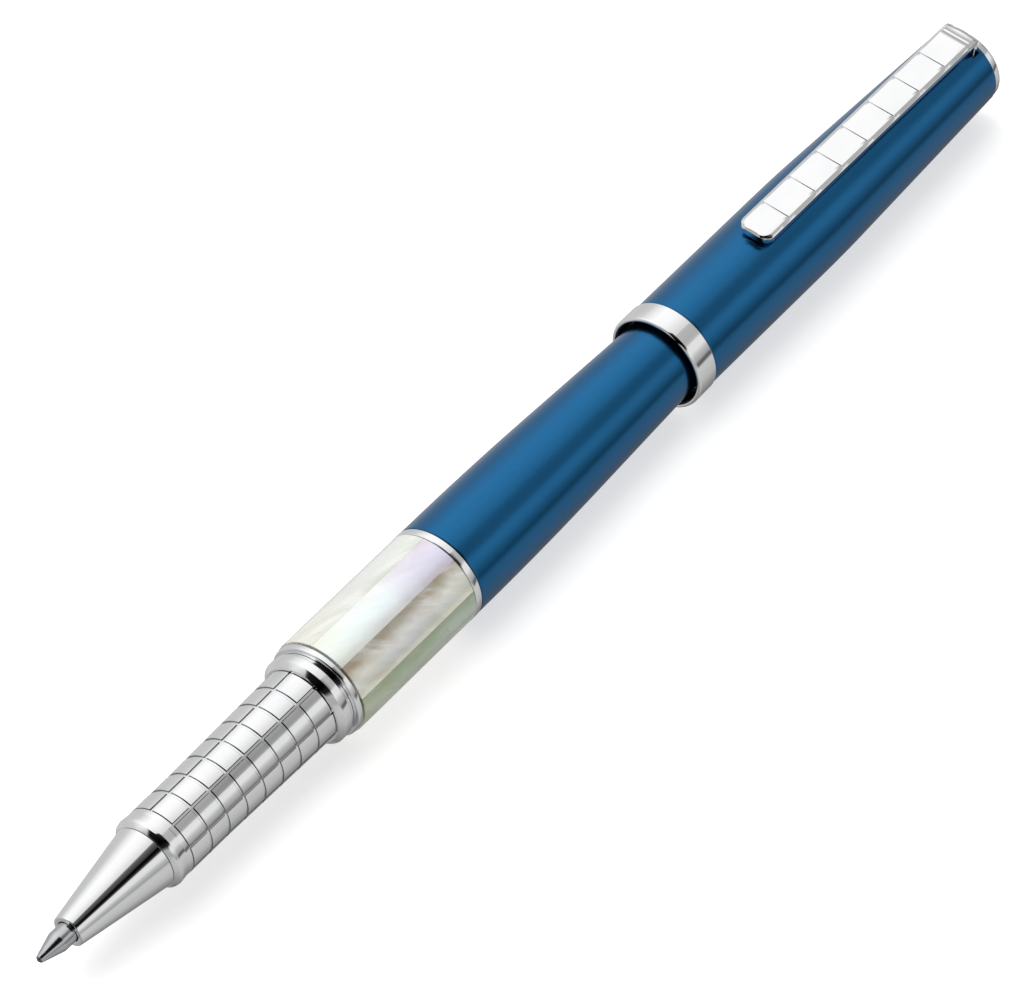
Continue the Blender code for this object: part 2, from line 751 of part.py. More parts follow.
def cap_liner():
    """The inner sleeve; its slotted front fingers grip the tail of the barrel when the cap is posted."""
    outer = [(CAP_LINER_FRONT, CAP_LINER_RADIUS), (CAP_LINER_REAR, CAP_LINER_RADIUS)]
    inner = [
        (CAP_LINER_FRONT, CAP_LINER_MOUTH),
        (CAP_LINER_GRIP, CAP_LINER_BORE),
        (CAP_LINER_REAR, CAP_LINER_BORE),
    ]
    liner = turned("cap_liner", outer, inner, plastic("cap_liner", (0.04, 0.04, 0.045)))
    for slot in range(FINGER_SLOTS // 2):
        across = FINGER_SLOT_WIDTH / 2
        reach = CAP_LINER_RADIUS + PAST
        start = world_x(CAP_LINER_FRONT - PAST)
        end = world_x(CAP_LINER_FRONT + FINGER_SLOT_LENGTH)
        cutter = box(f"finger_slot_{slot + 1}", (start, -across, -reach), (end, across, reach), CUTTERS)
        cutter.location.z = AXIS_HEIGHT
        cutter.rotation_euler.x = math.radians(45.0 + slot * 90.0)
        add_boolean(liner, as_cutter(cutter), "DIFFERENCE")


def cap_plug():
    """The block inside the cap's end that the screw pulls the clip's tang against."""
    front = SCREW_HEAD_REAR + FIT_GAP
    rear = TANG_FRONT - FIT_GAP
    outer = [(front, CAP_PLUG_RADIUS), (rear, CAP_PLUG_RADIUS)]
    inner = [(front, SCREW_HOLE), (rear, SCREW_HOLE)]
    turned("cap_plug", outer, inner, plastic("cap_plug", (0.05, 0.05, 0.05)), INNER_STEPS)


def clip_tang():
    """The washer end of the clip, clamped inside the cap just under the foot of the clip's leg."""
    outer = [(TANG_FRONT, TANG_RADIUS), (TANG_REAR, TANG_RADIUS)]
    inner = [(TANG_FRONT, SCREW_HOLE), (TANG_REAR, SCREW_HOLE)]
    turned("clip_tang", outer, inner, chrome("clip_tang"), INNER_STEPS)


def cap_screw():
    """The slotted screw that clamps the clip's tang and the end disc to the cap's plug."""
    outer = [
        (SCREW_HEAD_FRONT, SCREW_HEAD_RADIUS - SCREW_HEAD_EDGE),
        (SCREW_HEAD_FRONT + SCREW_HEAD_EDGE, SCREW_HEAD_RADIUS),
        (SCREW_HEAD_REAR, SCREW_HEAD_RADIUS),
        (SCREW_HEAD_REAR, SCREW_RADIUS),
        (SCREW_REAR, SCREW_RADIUS),
    ]
    screw = turned("cap_screw", outer, None, steel("cap_screw"), INNER_STEPS)
    depth, reach, half_width = DRIVER_SLOT
    head = world_x(SCREW_HEAD_FRONT)
    low = (head - PAST, -reach, AXIS_HEIGHT - half_width)
    high = (head + depth, reach, AXIS_HEIGHT + half_width)
    add_boolean(screw, as_cutter(box("driver_slot", low, high, CUTTERS)), "DIFFERENCE")


def cap_end_disc():
    """The polished disc that closes the cap, with a blind hole for the screw in its boss."""
    boss_front = TANG_REAR + FIT_GAP
    hole_rear = SCREW_REAR + LOOSE_GAP
    outline = [
        (hole_rear, 0.0),
        (hole_rear, SCREW_HOLE),
        (boss_front, SCREW_HOLE),
        (boss_front, CAP_PLUG_RADIUS),
        (DISC_FRONT, CAP_PLUG_RADIUS),
        (DISC_FRONT, DISC_RADIUS),
        (LENGTH - DISC_EDGE, DISC_RADIUS),
        (LENGTH, DISC_RADIUS - DISC_EDGE),
        (LENGTH, 0.0),
    ]
    mesh = profile_mesh("cap_end_disc", outline, closed=False)
    disc = bpy.data.objects.new("cap_end_disc", mesh)
    PARTS.objects.link(disc)
    place_on_axis(disc)
    add_screw(disc, VISIBLE_STEPS)
    disc.data.materials.append(chrome("cap_end_disc"))


def clip_side_outline():
    """The clip seen from the side, about its hinge: a long arm that bends down into a leg."""
    top = CLIP_TOP - CLIP_HINGE_RADIUS
    under = top - CLIP_THICKNESS
    foot = CLIP_LEG_FOOT - CLIP_HINGE_RADIUS
    front = CLIP_FRONT - CLIP_HINGE_STATION
    rear = CLIP_REAR - CLIP_HINGE_STATION
    leg_front = rear - CLIP_LEG_THICKNESS
    outline = [(front, under), (front, top)]
    outline += arc(rear - CLIP_BEND, top - CLIP_BEND, CLIP_BEND, 90.0, 0.0)
    outline += [(rear, foot), (leg_front, foot)]
    outline += arc(leg_front - CLIP_INNER_BEND, under - CLIP_INNER_BEND, CLIP_INNER_BEND, 0.0, 90.0, 4)
    return outline


def clip_plan_outline():
    """The clip seen from above, about its hinge: straight sides and rounded free corners."""
    half = CLIP_WIDTH / 2
    front = CLIP_FRONT - CLIP_HINGE_STATION
    rear = CLIP_REAR - CLIP_HINGE_STATION + PAST
    outline = [(rear, -half), (rear, half)]
    outline += arc(front + CLIP_CORNER, half - CLIP_CORNER, CLIP_CORNER, 90.0, 180.0)
    outline += arc(front + CLIP_CORNER, CLIP_CORNER - half, CLIP_CORNER, 180.0, 270.0)
    return outline


def clip_arm():
    """The spring clip: its side outline as wide as the clip, trimmed to its plan outline."""
    hinge = (world_x(CLIP_HINGE_STATION), 0.0, AXIS_HEIGHT + CLIP_HINGE_RADIUS)
    upright = (math.radians(90.0), 0.0, 0.0)
    arm = outline_solid("clip_arm", clip_side_outline(), CLIP_WIDTH, upright, hinge, PARTS)
    level = (0.0, 0.0, 0.0)
    plan = outline_solid("clip_plan", clip_plan_outline(), CLIP_TOP, level, hinge, CUTTERS)
    add_boolean(arm, as_cutter(plan), "INTERSECT")
    arm.data.materials.append(chrome("clip_arm"))


def build():
    tip_ball()
    refill_tip()
    refill_holder()
    ink_core()
    refill_tube()
    refill_plug()
    refill_spring()
    nose_cone()
    front_collar()
    grip_sleeve()
    snap_collar()
    section_ring()
    section_tube()
    for index in range(STAVES):
        pearl_stave(index)
    barrel_liner()
    barrel_bushing()
    trim_ring()
    barrel_shell()
    spring_stop()
    barrel_end_plug()
    cap_lip_ring()
    cap_shell()
    cap_liner()
    cap_plug()
    clip_tang()
    cap_screw()
    cap_end_disc()
    clip_arm()


build()
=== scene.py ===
"""The looks of a rollerball pen with its cap posted on the barrel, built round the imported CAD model.

The pen lies along X with its writing tip at -X and its clip up. Outlines of turned pieces are lists of
(station, radius) in millimetres: a station is the distance from the front of the writing ball, and an
optional third number rounds that corner. Angles round the pen are measured from the clip's side, +Z,
towards -Y, which is the side that the camera sees.
"""

import functools
import math

import bmesh
import bpy
from mathutils import Matrix, Vector


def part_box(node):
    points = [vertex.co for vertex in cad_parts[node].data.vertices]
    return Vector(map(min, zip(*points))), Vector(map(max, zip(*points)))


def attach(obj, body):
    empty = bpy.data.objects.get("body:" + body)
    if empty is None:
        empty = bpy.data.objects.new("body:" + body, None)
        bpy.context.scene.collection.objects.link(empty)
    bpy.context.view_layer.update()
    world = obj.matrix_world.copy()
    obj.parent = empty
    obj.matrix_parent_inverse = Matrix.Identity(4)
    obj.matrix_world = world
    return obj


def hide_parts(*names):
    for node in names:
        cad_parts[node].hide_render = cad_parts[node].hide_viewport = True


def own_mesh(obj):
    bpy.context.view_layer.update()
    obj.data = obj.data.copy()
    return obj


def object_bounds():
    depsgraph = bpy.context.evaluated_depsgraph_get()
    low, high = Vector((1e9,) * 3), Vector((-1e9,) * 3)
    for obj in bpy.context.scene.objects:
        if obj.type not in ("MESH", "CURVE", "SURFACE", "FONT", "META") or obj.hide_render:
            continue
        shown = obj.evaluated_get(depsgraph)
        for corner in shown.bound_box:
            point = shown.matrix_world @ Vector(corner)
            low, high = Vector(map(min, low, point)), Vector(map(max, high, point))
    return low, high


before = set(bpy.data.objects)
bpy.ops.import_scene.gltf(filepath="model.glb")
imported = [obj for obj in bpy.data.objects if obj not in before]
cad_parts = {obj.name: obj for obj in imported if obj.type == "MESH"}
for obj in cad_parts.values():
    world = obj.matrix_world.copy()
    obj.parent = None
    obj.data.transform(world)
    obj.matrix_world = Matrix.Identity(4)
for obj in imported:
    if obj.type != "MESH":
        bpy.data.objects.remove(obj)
CAD_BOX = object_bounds()

MM = 0.001
TIP_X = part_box("tip_ball")[0].x
AXIS_Z = (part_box("cap_lip_ring")[0].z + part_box("cap_lip_ring")[1].z) / 2

# Mesh resolution
TURN_STEPS = 160
FINE_TURN_STEPS = 240
FILLET_STEPS = 5
SHARP_DEG = 40.0
FINE_SHARP_DEG = 24.0
WELD = 1e-7
HAIRLINE = 0.04

# Refill
POINT_RIM = 0.42
POINT_RADIUS = 1.25
POINT_CONE_END = 3.1
SPRING_WIRE = 0.21
SPRING_TURNS = 5
SPRING_FLAT_TURNS = 1.0
SPRING_FLAT_PITCH = 2.3 * SPRING_WIRE

# Writing section
MOUTH_RADIUS = 1.93
NOSE_REAR_RADIUS = 3.92
NOSE_BORE_RADIUS = 1.85
NOSE_SEAT = 9.45
NOSE_SPIGOT_BORE = 3.1
NOSE_SPIGOT_STEP = 16.3
SPIGOT_RADIUS = 3.55
SECTION_BORE = 3.6
GRIP_RADIUS = 4.42
GRIP_FLARE_START = 26.0
GRIP_FLARE = 0.0185
PAD_ROWS = 8
PAD_COLUMNS = 9
GROOVE = ((0.22, 0.0), (0.207, 0.01), (0.137, 0.12), (0.122, 0.13), (0.0, 0.13))
PAD_POINTS = 4
SNAP_NECK_RADIUS = 5.25
THREAD_PITCH = 0.75
THREAD_HEIGHT = 0.42
TUBE_RADIUS = 3.55
TUBE_BORE = 3.15

# Barrel
STAVES = 9
FIRST_JOINT_DEG = -14.0
STAVE_GAP_DEG = 0.12
STAVE_STEPS = 16
STAVE_THICKNESS = 0.66
PEARL_LENGTH = 19.3
TRIM_BORE = 5.41
BARREL_RADIUS = 6.09
BARREL_WALL = 0.84
BARREL_BEND = (69.0, 89.0)
BARREL_SLOPE = 0.0375

# Cap
CAP_RADIUS = 6.03
CAP_WALL = 0.5
CAP_BEND = (133.0, 140.0)
CAP_SLOPE = 0.0325
LIP_BORE = 5.72
LIP_STEP = 0.75
LIP_SPIGOT_RADIUS = 5.45
LIP_SPIGOT_BORE = 5.2
LINING = 0.08
DISC_SPIGOT_RADIUS = 4.3
DISC_SCREW_HOLE = 1.2
CLIP_SLOT = (165.72, 166.98)
CLIP_SLOT_WIDTH = 4.65
CLIP_SLOT_RADII = (3.0, 7.0)

# Clip, with the levels down its edge as (inset from the outline, drop from the top), and the cross-sections
# of its engraved lines and of the low ridge behind its last panel as (offset, depth)
CLIP_CORNER = 1.4
CLIP_TIP_INSET = 0.35
CLIP_BEND_LENGTH = 1.0
CLIP_BEND_DROP = 0.55
CLIP_BEND_ARC = 1.3
CLIP_SHOULDER = (0.4, 0.14)
CLIP_FOOT = 4.4
CLIP_CROWN = 0.03
CLIP_LEVELS = (
    (0.47, 0.03),
    (0.45, 0.034),
    (0.03, 0.27),
    (0.0, 0.31),
    (0.0, 0.95),
    (0.03, 1.01),
    (0.09, 1.05),
)
CLIP_COLUMNS = 10
CLIP_PANEL = 5.17
CLIP_FIRST_LINE = 4.6
CLIP_LINES = 7
CLIP_LINE = ((0.08, 0.0), (0.072, 0.005), (0.015, 0.075), (0.0, 0.078))
CLIP_LINE_BOW = 0.06
CLIP_RIDGE = (
    (-1.0, 0.0),
    (-0.8, 0.01),
    (-0.6, 0.045),
    (-0.4, 0.085),
    (-0.24, 0.115),
    (-0.22, 0.115),
    (-0.08, 0.07),
    (-0.04, 0.07),
    (0.1, 0.1),
    (0.3, 0.135),
    (0.6, 0.17),
)

# Camera and studio
CAMERA_AIM = (-3.53, 0.3, 0.0)
CAMERA_AZIMUTH = -56.226
CAMERA_ELEVATION = 50.010
CAMERA_ROLL = 4.852
CAMERA_DISTANCE = 661.07
CAMERA_LENS = 210.94
CAMERA_SENSOR = 36.0
KEY_SIZE = 1.2
KEY_WATTS = 14.0
KEY_PLACE = (-0.2, 0.5, 1.3)
FLOOR_REACH = 3.0
FLOOR_GLOW = 0.62


@functools.cache
def box(node):
    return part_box(node)


def front_of(node):
    return (box(node)[0].x - TIP_X) / MM


def rear_of(node):
    return (box(node)[1].x - TIP_X) / MM


def radius_of(node):
    low, high = box(node)
    return (high.z - low.z) / 2 / MM


def on_pen(station, radius, angle):
    """The point at a station and radius in mm, and an angle from the clip's side towards -Y."""
    across = -radius * math.sin(angle) * MM
    up = AXIS_Z + radius * math.cos(angle) * MM
    return Vector((TIP_X + station * MM, across, up))


def spread(start, end, count):
    return [start + (end - start) * i / (count - 1) for i in range(count)]


def smooth(value):
    value = min(max(value, 0.0), 1.0)
    return value * value * (3 - 2 * value)


def tapered(station, radius, bend, slope):
    """The radius of a cylinder that bends smoothly into a cone of that slope."""
    start, end = bend
    into = min(max(station - start, 0.0), end - start)
    return radius - slope * (into**2 / (2 * (end - start)) + max(0.0, station - end))


def barrel_radius(station):
    return tapered(station, BARREL_RADIUS, BARREL_BEND, BARREL_SLOPE)


def cap_radius(station):
    return tapered(station, CAP_RADIUS, CAP_BEND, CAP_SLOPE)


def grip_radius(station):
    return GRIP_RADIUS + GRIP_FLARE * max(0.0, station - GRIP_FLARE_START)


# Meshes ------------------------------------------------------------------------------------------


def fillet(before, corner, after, radius):
    """The arc that rounds a corner between two straight runs."""
    back = (before - corner).normalized()
    on = (after - corner).normalized()
    half = back.angle(on) / 2
    reach = radius / math.tan(half)
    center = corner + (back + on).normalized() * (radius / math.sin(half))
    start = (corner + back * reach - center).normalized()
    end = (corner + on * reach - center).normalized()
    return [center + start.slerp(end, t) * radius for t in spread(0.0, 1.0, FILLET_STEPS)]


def rounded(corners):
    """A closed outline from (station, radius) or (station, radius, rounding) corners."""
    points = []
    for index, corner in enumerate(corners):
        here = Vector(corner[:2])
        if len(corner) == 2:
            points.append(here)
            continue
        before = Vector(corners[index - 1][:2])
        after = Vector(corners[(index + 1) % len(corners)][:2])
        points += fillet(before, here, after, corner[2])
    return points


def bridge(bm, ring, following):
    """Quads between two closed rings, or triangles where one of them is a single point."""
    count = max(len(ring), len(following))
    if count == 1:
        return
    for i in range(count):
        j = (i + 1) % count
        corners = [ring[i % len(ring)], ring[j % len(ring)]]
        corners += [following[j % len(following)], following[i % len(following)]]
        unique = list(dict.fromkeys(corners))
        bm.faces.new(unique)


def lathe(outline, steps=TURN_STEPS):
    """A closed outline turned round the pen's axis; a radius of zero is a point on the axis."""
    bm = bmesh.new()
    rings = []
    for station, radius in rounded(outline):
        count = steps if radius > 0.0 else 1
        angles = [2 * math.pi * k / steps for k in range(count)]
        rings.append([bm.verts.new(on_pen(station, radius, a)) for a in angles])
    for ring, following in zip(rings, rings[1:] + rings[:1]):
        bridge(bm, ring, following)
    return bm


def sweep(bm, centers, frames, section):
    """A closed tube: the section, as (across, up) offsets, at each centre in its (across, up) frame."""
    rings = []
    for center, (across, up) in zip(centers, frames):
        rings.append([bm.verts.new(center + across * x + up * y) for x, y in section])
    for ring, following in zip(rings, rings[1:]):
        bridge(bm, ring, following)
    bm.faces.new(rings[0])
    bm.faces.new(rings[-1])


def piece(bm, name, body, material, slot, *nodes, sharp=SHARP_DEG):
    """A finished object from a mesh: smooth, riding on its body, and standing for its CAD nodes."""
    bmesh.ops.recalc_face_normals(bm, faces=bm.faces)
    for face in bm.faces:
        face.smooth = True
    for edge in bm.edges:
        if len(edge.link_faces) == 2:
            edge.smooth = edge.calc_face_angle() < math.radians(sharp)
    mesh = bpy.data.meshes.new(name)
    bm.to_mesh(mesh)
    bm.free()
    obj = bpy.data.objects.new(name, mesh)
    bpy.context.scene.collection.objects.link(obj)
    weighted = obj.modifiers.new("weighted_normals", "WEIGHTED_NORMAL")
    weighted.keep_sharp = True
    mesh.materials.append(material)
    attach(obj, body)
    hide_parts(*nodes)
    return obj


# Materials ---------------------------------------------------------------------------------------


class Shading:
    """A node tree, with a short way to add arithmetic to it."""

    def __init__(self, tree):
        self.nodes, self.links = tree.nodes, tree.links

    def number(self, operation, *values):
        node = self.nodes.new("ShaderNodeMath")
        node.operation = operation
        for socket, value in zip(node.inputs, values):
            if isinstance(value, bpy.types.NodeSocket):
                self.links.new(value, socket)
            else:
                socket.default_value = value
        return node.outputs[0]


class Finish(Shading):
    """A node material with one Principled shader, and short ways to add what drives its sockets."""

    def __init__(self, name, sockets):
        self.material = bpy.data.materials.new(name)
        self.material.use_nodes = True
        super().__init__(self.material.node_tree)
        self.shader = self.nodes["Principled BSDF"]
        for socket, value in sockets.items():
            self.shader.inputs[socket].default_value = value
        self.place = self.nodes.new("ShaderNodeTexCoord").outputs["Object"]

    def mapping(self, vector, location=(0.0, 0.0, 0.0), rotation=(0.0, 0.0, 0.0), scale=(1.0, 1.0, 1.0)):
        node = self.nodes.new("ShaderNodeMapping")
        node.inputs["Location"].default_value = location
        node.inputs["Rotation"].default_value = rotation
        node.inputs["Scale"].default_value = scale
        self.links.new(vector, node.inputs["Vector"])
        return node.outputs["Vector"]

    def stretched(self, along, across, turn=0.0):
        """Coordinates in units of a pattern's size in mm, along and across its grain."""
        turned = self.mapping(self.place, rotation=(0.0, 0.0, math.radians(turn)))
        return self.mapping(turned, scale=(1 / along / MM, 1 / across / MM, 1 / across / MM))

    def noise(self, vector, detail=3.0, roughness=0.5, distortion=0.0, seed=0.0):
        node = self.nodes.new("ShaderNodeTexNoise")
        node.noise_dimensions = "4D"
        node.inputs["W"].default_value = seed
        node.inputs["Scale"].default_value = 1.0
        node.inputs["Detail"].default_value = detail
        node.inputs["Roughness"].default_value = roughness
        node.inputs["Distortion"].default_value = distortion
        self.links.new(vector, node.inputs["Vector"])
        return node.outputs["Fac"]

    def ramp(self, value, *stops):
        """Colours or greys at positions from 0 to 1."""
        node = self.nodes.new("ShaderNodeValToRGB")
        elements = node.color_ramp.elements
        while len(elements) < len(stops):
            elements.new(0.5)
        for element, (position, color) in zip(elements, stops):
            element.position = position
            element.color = (*(color if isinstance(color, tuple) else (color,) * 3), 1.0)
        self.links.new(value, node.inputs["Fac"])
        return node.outputs["Color"]

    def mix(self, factor, first, second, blend="MIX"):
        node = self.nodes.new("ShaderNodeMix")
        node.data_type = "RGBA"
        node.blend_type = blend
        sockets = [node.inputs[i] for i in (0, 6, 7)]
        for socket, value in zip(sockets, (factor, first, second)):
            if isinstance(value, bpy.types.NodeSocket):
                self.links.new(value, socket)
            elif isinstance(value, tuple):
                socket.default_value = (*value, 1.0)
            else:
                socket.default_value = value
        return node.outputs[2]

    def bump(self, height, distance, strength=1.0):
        node = self.nodes.new("ShaderNodeBump")
        node.inputs["Strength"].default_value = strength
        node.inputs["Distance"].default_value = distance * MM
        self.links.new(height, node.inputs["Height"])
        self.links.new(node.outputs["Normal"], self.shader.inputs["Normal"])

    def drive(self, socket, value):
        self.links.new(value, self.shader.inputs[socket])


def chrome(name, low=0.02, high=0.06, tone=1.0):
    """Polished chrome: clean mirror with faint handling haze and hairline polishing marks."""
    finish = Finish(name, {"Metallic": 1.0})
    haze = finish.noise(finish.stretched(5.0, 3.0), detail=4.0, seed=2.0)
    marks = finish.noise(finish.stretched(0.12, 2.5), detail=2.0, seed=5.0)
    # A tone below 1 darkens all of this chrome; the channel walls use it to paint shade into the cuts
    dull = tuple(tone * c for c in (0.86, 0.865, 0.875))
    clean = tuple(tone * c for c in (0.91, 0.91, 0.915))
    finish.drive("Base Color", finish.ramp(haze, (0.3, dull), (0.7, clean)))
    finish.drive("Roughness", finish.ramp(haze, (0.35, low), (0.75, high)))
    finish.bump(marks, 0.0006, 0.35)
    return finish.material


def turned_steel(name, color, low, high):
    """Bare turned metal: fine rings left by the tool, at right angles to the pen."""
    finish = Finish(name, {"Metallic": 1.0})
    rings = finish.noise(finish.stretched(0.045, 8.0), detail=3.0, seed=1.0)
    stain = finish.noise(finish.stretched(2.0, 1.5), detail=4.0, seed=3.0)
    darker = tuple(c * 0.78 for c in color)
    finish.drive("Base Color", finish.ramp(stain, (0.3, darker), (0.65, color)))
    finish.drive("Roughness", finish.ramp(rings, (0.3, low), (0.7, high)))
    finish.bump(rings, 0.004, 0.5)
    return finish.material


def lacquer(name):
    """Satin metallic lacquer: fine aluminium flake under a soft clear coat."""
    sockets = {"Metallic": 1.0, "Coat Weight": 0.12, "Coat Roughness": 0.1, "Coat IOR": 1.4}
    finish = Finish(name, sockets)
    flake = finish.noise(finish.stretched(0.07, 0.07), detail=2.0, roughness=0.7, seed=4.0)
    cloud = finish.noise(finish.stretched(14.0, 6.0), detail=2.0, seed=7.0)
    deep = (0.012, 0.122, 0.292)
    bright = (0.02, 0.17, 0.385)
    color = finish.ramp(flake, (0.32, deep), (0.7, bright))
    shade = finish.ramp(cloud, (0.3, 0.93), (0.7, 1.0))
    finish.drive("Base Color", finish.mix(1.0, color, shade, "MULTIPLY"))
    finish.drive("Roughness", finish.ramp(flake, (0.3, 0.22), (0.75, 0.28)))
    finish.bump(flake, 0.002, 0.3)
    return finish.material


def plastic(name, color, roughness=0.45):
    """Moulded plastic with a fine grain."""
    finish = Finish(name, {"Metallic": 0.0})
    grain = finish.noise(finish.stretched(0.25, 0.25), detail=4.0, seed=6.0)
    lighter = tuple(min(1.0, c * 1.35 + 0.004) for c in color)
    finish.drive("Base Color", finish.ramp(grain, (0.3, color), (0.75, lighter)))
    finish.drive("Roughness", finish.ramp(grain, (0.3, roughness - 0.08), (0.7, roughness + 0.1)))
    finish.bump(grain, 0.01, 0.35)
    return finish.material


# Each stave is cut from a different piece of shell: its colour at its first edge, in its middle and at its
# other edge, its tint towards the barrel, the strength of its painted sheen (bright silky flares mixed
# towards white) and of its darker growth lines, and the direction of its grain in degrees
SHELL = (
    ((0.86, 0.9, 0.87), (0.9, 0.99, 1.0), (0.84, 0.86, 0.84), (0.84, 0.74, 0.88), 0.25, 0.05, 24.0),
    ((0.46, 0.4, 0.31), (0.86, 0.87, 0.84), (0.86, 0.86, 0.7), (1.0, 1.0, 0.92), 0.9, 0.12, 34.0),
    ((0.37, 0.45, 0.28), (0.5, 0.58, 0.44), (0.82, 0.72, 0.72), (0.95, 0.97, 1.0), 0.25, 0.08, 12.0),
    ((0.74, 0.76, 0.7), (0.8, 0.88, 0.84), (0.6, 0.62, 0.5), (1.0, 0.86, 0.92), 0.4, 0.15, -30.0),
    ((0.52, 0.5, 0.42), (0.74, 0.76, 0.74), (0.66, 0.7, 0.6), (0.86, 0.96, 1.0), 0.5, 0.2, 18.0),
    ((0.8, 0.78, 0.7), (0.88, 0.86, 0.86), (0.7, 0.74, 0.7), (1.0, 0.9, 0.96), 0.3, 0.1, -34.0),
    ((0.56, 0.6, 0.5), (0.66, 0.7, 0.62), (0.76, 0.72, 0.66), (0.92, 1.0, 0.94), 0.6, 0.2, 30.0),
    ((0.8, 0.82, 0.78), (0.86, 0.88, 0.84), (0.74, 0.74, 0.66), (1.0, 0.94, 0.88), 0.3, 0.08, -18.0),
    ((0.92, 0.92, 0.9), (0.84, 0.85, 0.81), (0.66, 0.68, 0.6), (0.97, 1.0, 0.97), 0.7, 0.08, 20.0),
)


def pearl(index):
    """Polished mother-of-pearl: drifting tints and growth lines under a hard gloss, with its silky flares
    painted into the colour as sheen.
    """
    upper, middle, lower, rear_tint, sheen_strength, growth, turn = SHELL[index]
    sockets = {"Metallic": 0.3, "Coat Weight": 0.8, "Coat Roughness": 0.07, "Coat IOR": 1.6}
    finish = Finish(f"pearl_{index + 1}", sockets)
    angle = math.radians(FIRST_JOINT_DEG + (index + 0.5) * 360 / STAVES)
    level = Matrix.Rotation(-angle, 3, "X")
    start = Vector((box("trim_ring")[0].x, 0.0, AXIS_Z))
    finish.place = finish.mapping(finish.place, -(level @ start), (-angle, 0.0, 0.0))
    parts = finish.nodes.new("ShaderNodeSeparateXYZ")
    finish.links.new(finish.place, parts.inputs[0])
    swirl = finish.noise(finish.stretched(5.0, 2.6, turn), detail=2.0, distortion=0.6, seed=30.0 + index)
    drift = finish.noise(finish.stretched(6.0, 4.0, -turn), detail=1.0, seed=70.0 + index)
    silk = finish.noise(finish.stretched(8.0, 1.7, turn), detail=2.0, distortion=0.7, seed=10.0 + index)
    lines = finish.noise(finish.stretched(12.0, 1.4, turn), detail=2.0, distortion=0.4, seed=50.0 + index)
    half_width = radius_of("trim_ring") * math.sin(math.pi / STAVES)
    across = finish.number("MULTIPLY_ADD", parts.outputs["Y"], -0.5 / half_width / MM, 0.2)
    across = finish.number("MULTIPLY_ADD", swirl, 0.6, across)
    along = finish.number("MULTIPLY_ADD", parts.outputs["X"], 1 / PEARL_LENGTH / MM, 0.75)
    along = finish.number("MULTIPLY_ADD", drift, 0.5, along)
    color = finish.ramp(across, (0.1, upper), (0.5, middle), (0.72, middle), (0.98, lower))
    plain = (1.0, 1.0, 1.0)
    front_tint = (1.0, 0.98, 0.9)
    tint = finish.ramp(along, (0.12, front_tint), (0.34, plain), (0.58, plain), (0.82, rear_tint))
    color = finish.mix(1.0, color, tint, "MULTIPLY")
    shade = finish.ramp(lines, (0.36, 1.0 - growth), (0.56, 1.0))
    color = finish.mix(1.0, color, shade, "MULTIPLY")
    # Painted sheen: silky streaks in the base colour mixed towards near white
    painted_sheen = finish.ramp(silk, (0.44, 0.0), (0.74, sheen_strength))
    finish.drive("Base Color", finish.mix(painted_sheen, color, (0.95, 0.96, 0.93)))
    finish.drive("Roughness", finish.ramp(silk, (0.3, 0.2), (0.7, 0.32)))
    finish.bump(silk, 0.008, 0.2)
    return finish.material


# Refill ------------------------------------------------------------------------------------------


def writing_ball(material):
    radius = radius_of("tip_ball")
    angles = spread(0.0, math.pi, 25)
    outline = [(radius - radius * math.cos(a), radius * math.sin(a)) for a in angles[1:-1]]
    bm = lathe([(0.0, 0.0)] + outline + [(2 * radius, 0.0)], 48)
    return piece(bm, "writing_ball", "ball", material, "steel_point", "tip_ball")


def refill_point(material):
    """The steel point: rolled rim, cone, a short land and the long stub that goes into the nose."""
    front, rear = front_of("refill_tip"), rear_of("refill_tip")
    ball = radius_of("tip_ball")
    socket = ball + 0.02
    outline = [
        (front, ball + 0.015),
        (front + 0.03, POINT_RIM, 0.03),
        (front + 0.42, POINT_RIM + 0.14, 0.1),
        (POINT_CONE_END, POINT_RADIUS, 0.25),
        (rear, POINT_RADIUS, 0.05),
        (rear, 0.2),
        (2 * ball + 0.05, 0.2),
        (2 * ball, socket),
        (ball, socket),
    ]
    return piece(lathe(outline), "refill_point", "refill", material, "steel_point", "refill_tip")


def spring_wire(material):
    """The coil spring, whose first and last turns lie flat. The real one shortens as the refill is pushed
    in; this mesh keeps one length.
    """
    front = front_of("refill_spring") + SPRING_WIRE
    rear = rear_of("refill_spring") - SPRING_WIRE
    radius = radius_of("refill_spring") - SPRING_WIRE
    flat_rise = SPRING_FLAT_TURNS * SPRING_FLAT_PITCH
    free_turns = SPRING_TURNS - 2 * SPRING_FLAT_TURNS
    free_rise = rear - front - 2 * flat_rise
    centers, frames = [], []
    for turn in spread(0.0, SPRING_TURNS, SPRING_TURNS * 40 + 1):
        free = min(max(turn - SPRING_FLAT_TURNS, 0.0), free_turns)
        flat = turn - free
        station = front + flat / SPRING_FLAT_TURNS * flat_rise + free / free_turns * free_rise
        angle = 2 * math.pi * turn
        centers.append(on_pen(station, radius, angle))
        outward = on_pen(0.0, 1.0, angle) - on_pen(0.0, 0.0, angle)
        frames.append((Vector((1.0, 0.0, 0.0)), outward.normalized()))
    circle = [(math.cos(a), math.sin(a)) for a in spread(0.0, 2 * math.pi, 13)[:-1]]
    bm = bmesh.new()
    sweep(bm, centers, frames, [(SPRING_WIRE * MM * x, SPRING_WIRE * MM * y) for x, y in circle])
    obj = piece(bm, "spring_wire", "spring", material, "steel_point", "refill_spring")
    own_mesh(obj)
    return obj


# Writing section ---------------------------------------------------------------------------------


